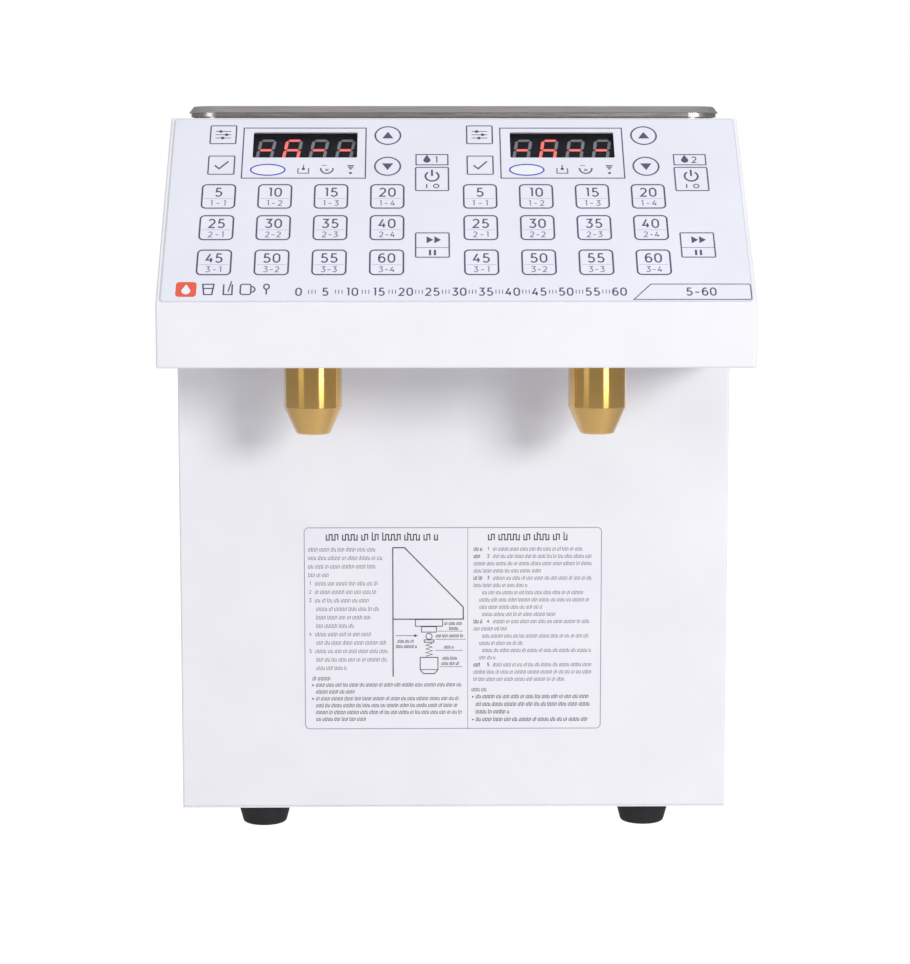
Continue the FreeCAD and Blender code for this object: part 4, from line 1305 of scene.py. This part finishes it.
@dataclass(frozen=True)
class Notes:
    """Bold notes under a column: a short lead-in, then lines of which some have a bullet.

    Attributes:
        lead: Start, end and foot of the lead-in.
        start: Left end of the lines.
        top: Foot of the first line.
        pitch: Distance between lines.
        height: Height of their strokes.
        line: Stroke width.
        bullet_x: Place of the bullets.
        bullet: Their radius.
        ends: Right end of each line.
        marked: Numbers of the lines that have a bullet.
    """

    lead: Triple
    start: float
    top: float
    pitch: float
    height: float
    line: float
    bullet_x: float
    bullet: float
    ends: tuple[float, ...]
    marked: tuple[int, ...]
    lead_height: ClassVar[float] = 1.9
    lead_line: ClassVar[float] = 0.36
    bullet_rise: ClassVar[float] = 0.9

    def write(self, bold: Print, scribble: Scribble) -> None:
        """Draw the notes."""
        scribble.words(bold, *self.lead, self.lead_height, self.lead_line)
        for i, end in enumerate(self.ends):
            y = self.top - i * self.pitch
            if i in self.marked:
                bold.disc(self.bullet_x, y + self.bullet_rise, self.bullet, self.bullet)
            scribble.words(bold, self.start, end, y, self.height, self.line)


NOZZLE_X = -16.7  # Middle of the loose nozzle parts in the diagram
DIAGRAM = [
    # Side view of a dispensing head on its column
    Mark([(-40.8, 89.6), (-40.8, 176.9), (-33.0, 176.9), (6.2, 136.7), (6.2, 128.6), (-40.8, 128.6)], 0.75),
    # Flange, nozzle body and plug stem
    *(Mark([(NOZZLE_X - half, low), (NOZZLE_X + half, low), (NOZZLE_X + half, high), (NOZZLE_X - half, high)],
           0.55, True) for low, high, half in ((123.8, 128.4, 9.05), (119.8, 123.5, 4.95), (112.9, 114.5, 3.25))),
    # Eye, spring and cap
    Mark(oval(NOZZLE_X, 116.9, 2.025, 2.025, 8), 0.55, True),
    Mark([(NOZZLE_X + (2.15 if i % 2 else -2.15), 103.4 + i * 1.25) for i in range(8)], 0.55),
    Mark([(NOZZLE_X - 5.95, 102.6), (NOZZLE_X - 5.95, 94.3), (NOZZLE_X - 3.75, 91.6), (NOZZLE_X + 3.75, 91.6),
          (NOZZLE_X + 5.95, 94.3), (NOZZLE_X + 5.95, 102.6)], 0.6, True),
    Mark([(NOZZLE_X - 5.95, 94.3), (NOZZLE_X + 5.95, 94.3)], 0.45),
    # Arrow, and lines that lead to the captions
    Mark([(-38.8, 117.4), (-26.0, 117.4)], 0.4),
    Mark([(-24.0, 117.4), (-26.6, 118.4), (-26.6, 116.4)]),
    *(Mark([(x0, y), (x1, y)], 0.32) for x0, x1, y in
      ((-11.0, 6.0, 120.4), (-12.4, 8.0, 114.9), (-12.6, 5.8, 107.4), (-9.6, 5.4, 96.2))),
]
# Start, end and foot of each caption
CAPTIONS = ((-37.6, -24.6, 112.8), (-38.6, -24.0, 109.2), (-6.2, 6.4, 124.8), (-3.0, 4.0, 121.4),
            (-12.0, 7.0, 116.4), (-6.4, 1.0, 108.8), (-7.4, 2.6, 101.2), (-8.2, 4.2, 97.6))
LEFT_COLUMN = Column(
    ((-97.0, -51, 0), (-97.0, -47, 0), (-97.0, -51, 0), (-97.0, -82, 0), (-92.6, -50, 1), (-92.6, -51, 2),
     (-92.6, -55, 3), (-91.9, -49, 0), (-91.9, -53, 0), (-91.9, -65, 0), (-92.6, -54, 4), (-91.9, -44, 0),
     (-92.6, -43, 5), (-91.9, -44, 0), (-91.9, -71, 0)),
    top=174.6, pitch=5.73, height=1.9, digit_height=2.7, digit_line=0.36, digit_shift=-3.4)
RIGHT_COLUMN = Column(
    ((13.3, 88, 1), (13.3, 93, 2), (13.3, 93, 0), (13.3, 60, 0), (13.3, 93, 3), (13.3, 50, 0), (19, 88, 0),
     (17.2, 93, 0), (17.2, 60, 0), (19, 69, 0), (13.3, 93, 4), (13.3, 36, 0), (19, 91, 0), (17.2, 47, 0),
     (19, 93, 0), (17.2, 29, 0), (13.3, 93, 5), (13.3, 93, 0), (13.3, 75, 0)),
    top=174.9, pitch=4.9, height=1.75, digit_height=2.5, digit_line=0.42, digit_shift=9.6, lead=7.0, indent=13.0)
LEFT_NOTES = Notes(lead=(-94.6, -82.0, 87.3), start=-92.3, top=83.0, pitch=4.68, height=1.75, line=0.36,
                   bullet_x=-94.6, bullet=0.6, ends=(5.8, -64, 4.5, 3.4, 6.2, -58), marked=(0, 2))
RIGHT_NOTES = Notes(lead=(12.0, 24.0, 79.6), start=14.8, top=74.8, pitch=5.2, height=1.85, line=0.4,
                    bullet_x=12.6, bullet=0.55, ends=(92, 92, 38, 91), marked=(0, 3))


@dataclass
class FrontLabel:
    """Care label on the front: frame, two columns of unreadable small print, and a diagram."""

    size: Point = (203.4, 142.2)
    middle: Point = (-1.2, 121.9)
    corner: float = 1.5
    under: float = 0.01
    film: float = 0.1
    ink_lift: float = 0.03
    frame_middle: Point = (-0.7, 122.2)
    frame_size: Point = (198.6, 136.8)
    frame_corner: float = 3.2
    frame_line: float = 0.5
    divider_x: float = 9.2
    divider_line: float = 0.35
    headings: ClassVar[tuple[Triple, ...]] = ((-85.0, -7.5, 182.1), (23.0, 78.2, 182.1))
    heading_height: float = 3.7
    heading_line: float = 0.75
    caption_height: float = 1.5
    caption_line: float = 0.36
    seed: int = 7

    def plane(self) -> Plane:
        """Plane of the body's front, with its origin at the body's lower edge."""
        foot = Vector((0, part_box("body_shell")[0].y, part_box("chassis")[0].z))
        return Plane.of(foot, Vector((1, 0, 0)), Vector((0, 0, 1)))

    def sheet(self, plane: Plane) -> None:
        """Lay the label's film as a thin plate."""
        outline = rounded_rectangle(*self.middle, *self.size, self.corner)
        count = len(outline)
        vertices = [plane.matrix @ Vector((x, y, lift)) for lift in (self.under, self.film) for x, y in outline]
        faces: list[tuple[int, ...]] = [tuple(range(count, 2 * count))]
        faces += [(i, (i + 1) % count, count + (i + 1) % count, count + i) for i in range(count)]
        shown("label_film", mesh_of("label_film", vertices, faces), LABEL_FILM, ROOT)

    def build(self) -> None:
        """Lay the label with its print, in one fixed order of random draws."""
        plane = self.plane()
        self.sheet(plane)
        lines, bold, text, drawing = Print(), Print(), Print(), Print()
        scribble = Scribble(self.seed)
        lines.frame(*self.frame_middle, *self.frame_size, self.frame_corner, self.frame_line)
        y, reach = self.frame_middle[1], self.frame_size[1] / 2
        lines.stroke([(self.divider_x, y - reach), (self.divider_x, y + reach)], self.divider_line)
        for x0, x1, y in self.headings:
            scribble.words(bold, x0, x1, y, self.heading_height, self.heading_line)
        LEFT_COLUMN.write(bold, text, scribble)
        LEFT_NOTES.write(bold, scribble)
        RIGHT_COLUMN.write(bold, text, scribble)
        RIGHT_NOTES.write(bold, scribble)
        drawing.draw(DIAGRAM)
        for x0, x1, y in CAPTIONS:
            scribble.words(bold, x0, x1, y, self.caption_height, self.caption_line)
        for ink, name, finish in ((lines, "label_frame_lines", LABEL_LINE_INK), (bold, "label_bold_print", LABEL_INK),
                                  (text, "label_small_print", LABEL_TEXT_INK), (drawing, "label_diagram", LABEL_INK)):
            ink.lay(name, plane, self.film + self.ink_lift, finish, ROOT)
        log.info("front label laid")


@dataclass
class MainsInlet:
    """Metal pins of the mains inlet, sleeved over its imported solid, in millimetres."""

    pins: ClassVar[tuple[Point, ...]] = ((-7.0, -2.0), (7.0, -2.0), (0.0, 2.0))
    length: float = 14.0
    width: float = 4.0
    thickness: float = 2.0
    socket_depth: float = 17.0
    sleeve: float = 0.06
    taper: float = 0.6
    tip_inset: float = 0.35

    def build(self) -> None:
        """Sleeve the three pins."""
        low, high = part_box("power_inlet")
        x, z = (low.x + high.x) / 2, (low.z + high.z) / 2
        floor = high.y - self.socket_depth * MM
        top = floor + (self.length + self.sleeve) * MM
        a = (self.thickness / 2 + self.sleeve) * MM
        c = (self.width / 2 + self.sleeve) * MM
        rings = ((floor, 0.0), (top - self.taper * MM, 0.0), (top, self.tip_inset * MM))
        corners = [(sx * (a - inset), y, sz * (c - inset)) for y, inset in rings
                   for sx, sz in ((-1, -1), (1, -1), (1, 1), (-1, 1))]
        faces: list[tuple[int, ...]] = [(8, 9, 10, 11)]
        for ring in (0, 4):
            faces += [(ring + j, ring + (j + 1) % 4, ring + 4 + (j + 1) % 4, ring + 4 + j) for j in range(4)]
        for i, (dx, dz) in enumerate(self.pins, start=1):
            vertices = [(x + dx * MM + u, y, z + dz * MM + w) for u, y, w in corners]
            shown(f"inlet_pin_{i}", mesh_of(f"inlet_pin_{i}", vertices, faces), PIN_NICKEL, ROOT)
        log.info("mains inlet pins sleeved")


@dataclass(frozen=True)
class Softbox:
    """One soft light: its name, place and size in metres, and power in watts."""

    name: str
    place: Triple
    size: Point
    power: float
    aim: ClassVar[Triple] = (0.0, -0.05, 0.26)

    def hang(self) -> None:
        """Hang the light, aimed at the machine."""
        light = bpy.data.lights.new(self.name, "AREA")
        light.shape = "RECTANGLE"
        light.size, light.size_y = self.size
        light.energy = self.power
        lamp = bpy.data.objects.new(self.name, light)
        lamp.location = self.place
        lamp.rotation_euler = (Vector(self.aim) - Vector(self.place)).to_track_quat("-Z", "Y").to_euler()
        bpy.context.scene.collection.objects.link(lamp)


@dataclass
class Studio:
    """White studio: camera, floor, soft lights and surroundings, in metres and degrees."""

    picture_height: int = 964
    focal_pixels: float = 2487.2
    sensor: float = 36.0
    far_end: float = 50.0
    camera_place: Triple = (-0.0215, -1.7004, 0.434)
    camera_pitch: float = 6.8845
    camera_yaw: float = -0.7745
    lights: ClassVar[tuple[Softbox, ...]] = (
        Softbox("key_softbox", (2.0, -3.18, 1.16), (1.2, 0.8), 71.5),
        Softbox("low_card", (0.98, -1.64, 0.13), (0.62, 0.22), 2.8),
        Softbox("fill_softbox", (-1.95, -1.95, 0.8), (1.05, 1.2), 10.0),
    )
    surround: str = "#FBFBFF"
    horizon: float = 0.25
    zenith: float = 0.88
    nadir: float = 0.92
    floor_half: float = 4.0
    floor_level: float = -0.0005

    def camera(self) -> None:
        """Stand the camera where the photograph was taken from."""
        lens = bpy.data.cameras.new("studio_camera")
        lens.sensor_fit = "AUTO"
        lens.sensor_width = self.sensor
        lens.lens = self.focal_pixels * self.sensor / self.picture_height
        lens.dof.use_dof = False
        lens.clip_end = self.far_end
        camera = bpy.data.objects.new("studio_camera", lens)
        camera.location = self.camera_place
        camera.rotation_euler = (math.radians(90 - self.camera_pitch), 0, math.radians(self.camera_yaw))
        bpy.context.scene.collection.objects.link(camera)
        bpy.context.scene.camera = camera

    def world(self) -> None:
        """Surround the scene with white that grows towards zenith and nadir, and is plain behind the machine."""
        world = bpy.data.worlds.new("studio_surround")
        world.use_nodes = True
        tree = world.node_tree
        tree.nodes.clear()
        direct = add_node(tree, "LightPath").outputs["Is Camera Ray"]
        direction = add_node(tree, "TexCoord").outputs["Generated"]
        height = add_node(tree, "SeparateXYZ", links={"Vector": direction}).outputs["Z"]
        above = {"From Min": 0.0, "To Min": self.horizon, "To Max": self.zenith}
        below = {"From Min": 0.0, "From Max": -1.0, "To Max": self.nadir - self.horizon}
        shares = [add_node(tree, "MapRange", ends, {"Value": height}).outputs["Result"] for ends in (above, below)]
        strength = add_node(tree, "Math", {"operation": "ADD"}, dict(enumerate(shares))).outputs["Value"]
        soft = add_node(tree, "Background", {"Color": linear(self.surround)}, {"Strength": strength})
        white = add_node(tree, "Background", {"Color": linear("#FFFFFF"), "Strength": 1.0})
        mix = add_node(tree, "MixShader", links={0: direct, 1: soft.outputs["Background"],
                                                 2: white.outputs["Background"]})
        add_node(tree, "OutputWorld", links={"Surface": mix.outputs["Shader"]})
        bpy.context.scene.world = world

    def floor(self) -> None:
        """Lay the pale floor, which shows but leaves the machine's light to the surroundings."""
        half = self.floor_half
        mesh = mesh_of("studio_floor", [(-half, -half, 0), (half, -half, 0), (half, half, 0), (-half, half, 0)],
                       [(0, 1, 2, 3)])
        board = bpy.data.objects.new("studio_floor", mesh)
        mesh.materials.append(FLOOR_BOARD.material())
        board.location.z = self.floor_level
        board.visible_diffuse = False
        board.visible_glossy = False
        bpy.context.scene.collection.objects.link(board)

    def build(self) -> None:
        """Set up camera, lights, floor and surroundings."""
        self.camera()
        for softbox in self.lights:
            softbox.hang()
        self.world()
        self.floor()
        bpy.context.scene.view_settings.view_transform = "Standard"
        log.info("studio set")


def main() -> None:
    """Set up the studio and build every sub-assembly in order."""
    logging.basicConfig(level=logging.INFO, format="%(name)s: %(message)s")
    Studio().build()
    coat_nodes()
    Keypad().build()
    for side in SIDES:
        nozzle = Nozzle(side)
        nozzle.build()
        nozzle.spring()
    FrontLabel().build()
    MainsInlet().build()


if __name__ == "__main__":
    main()
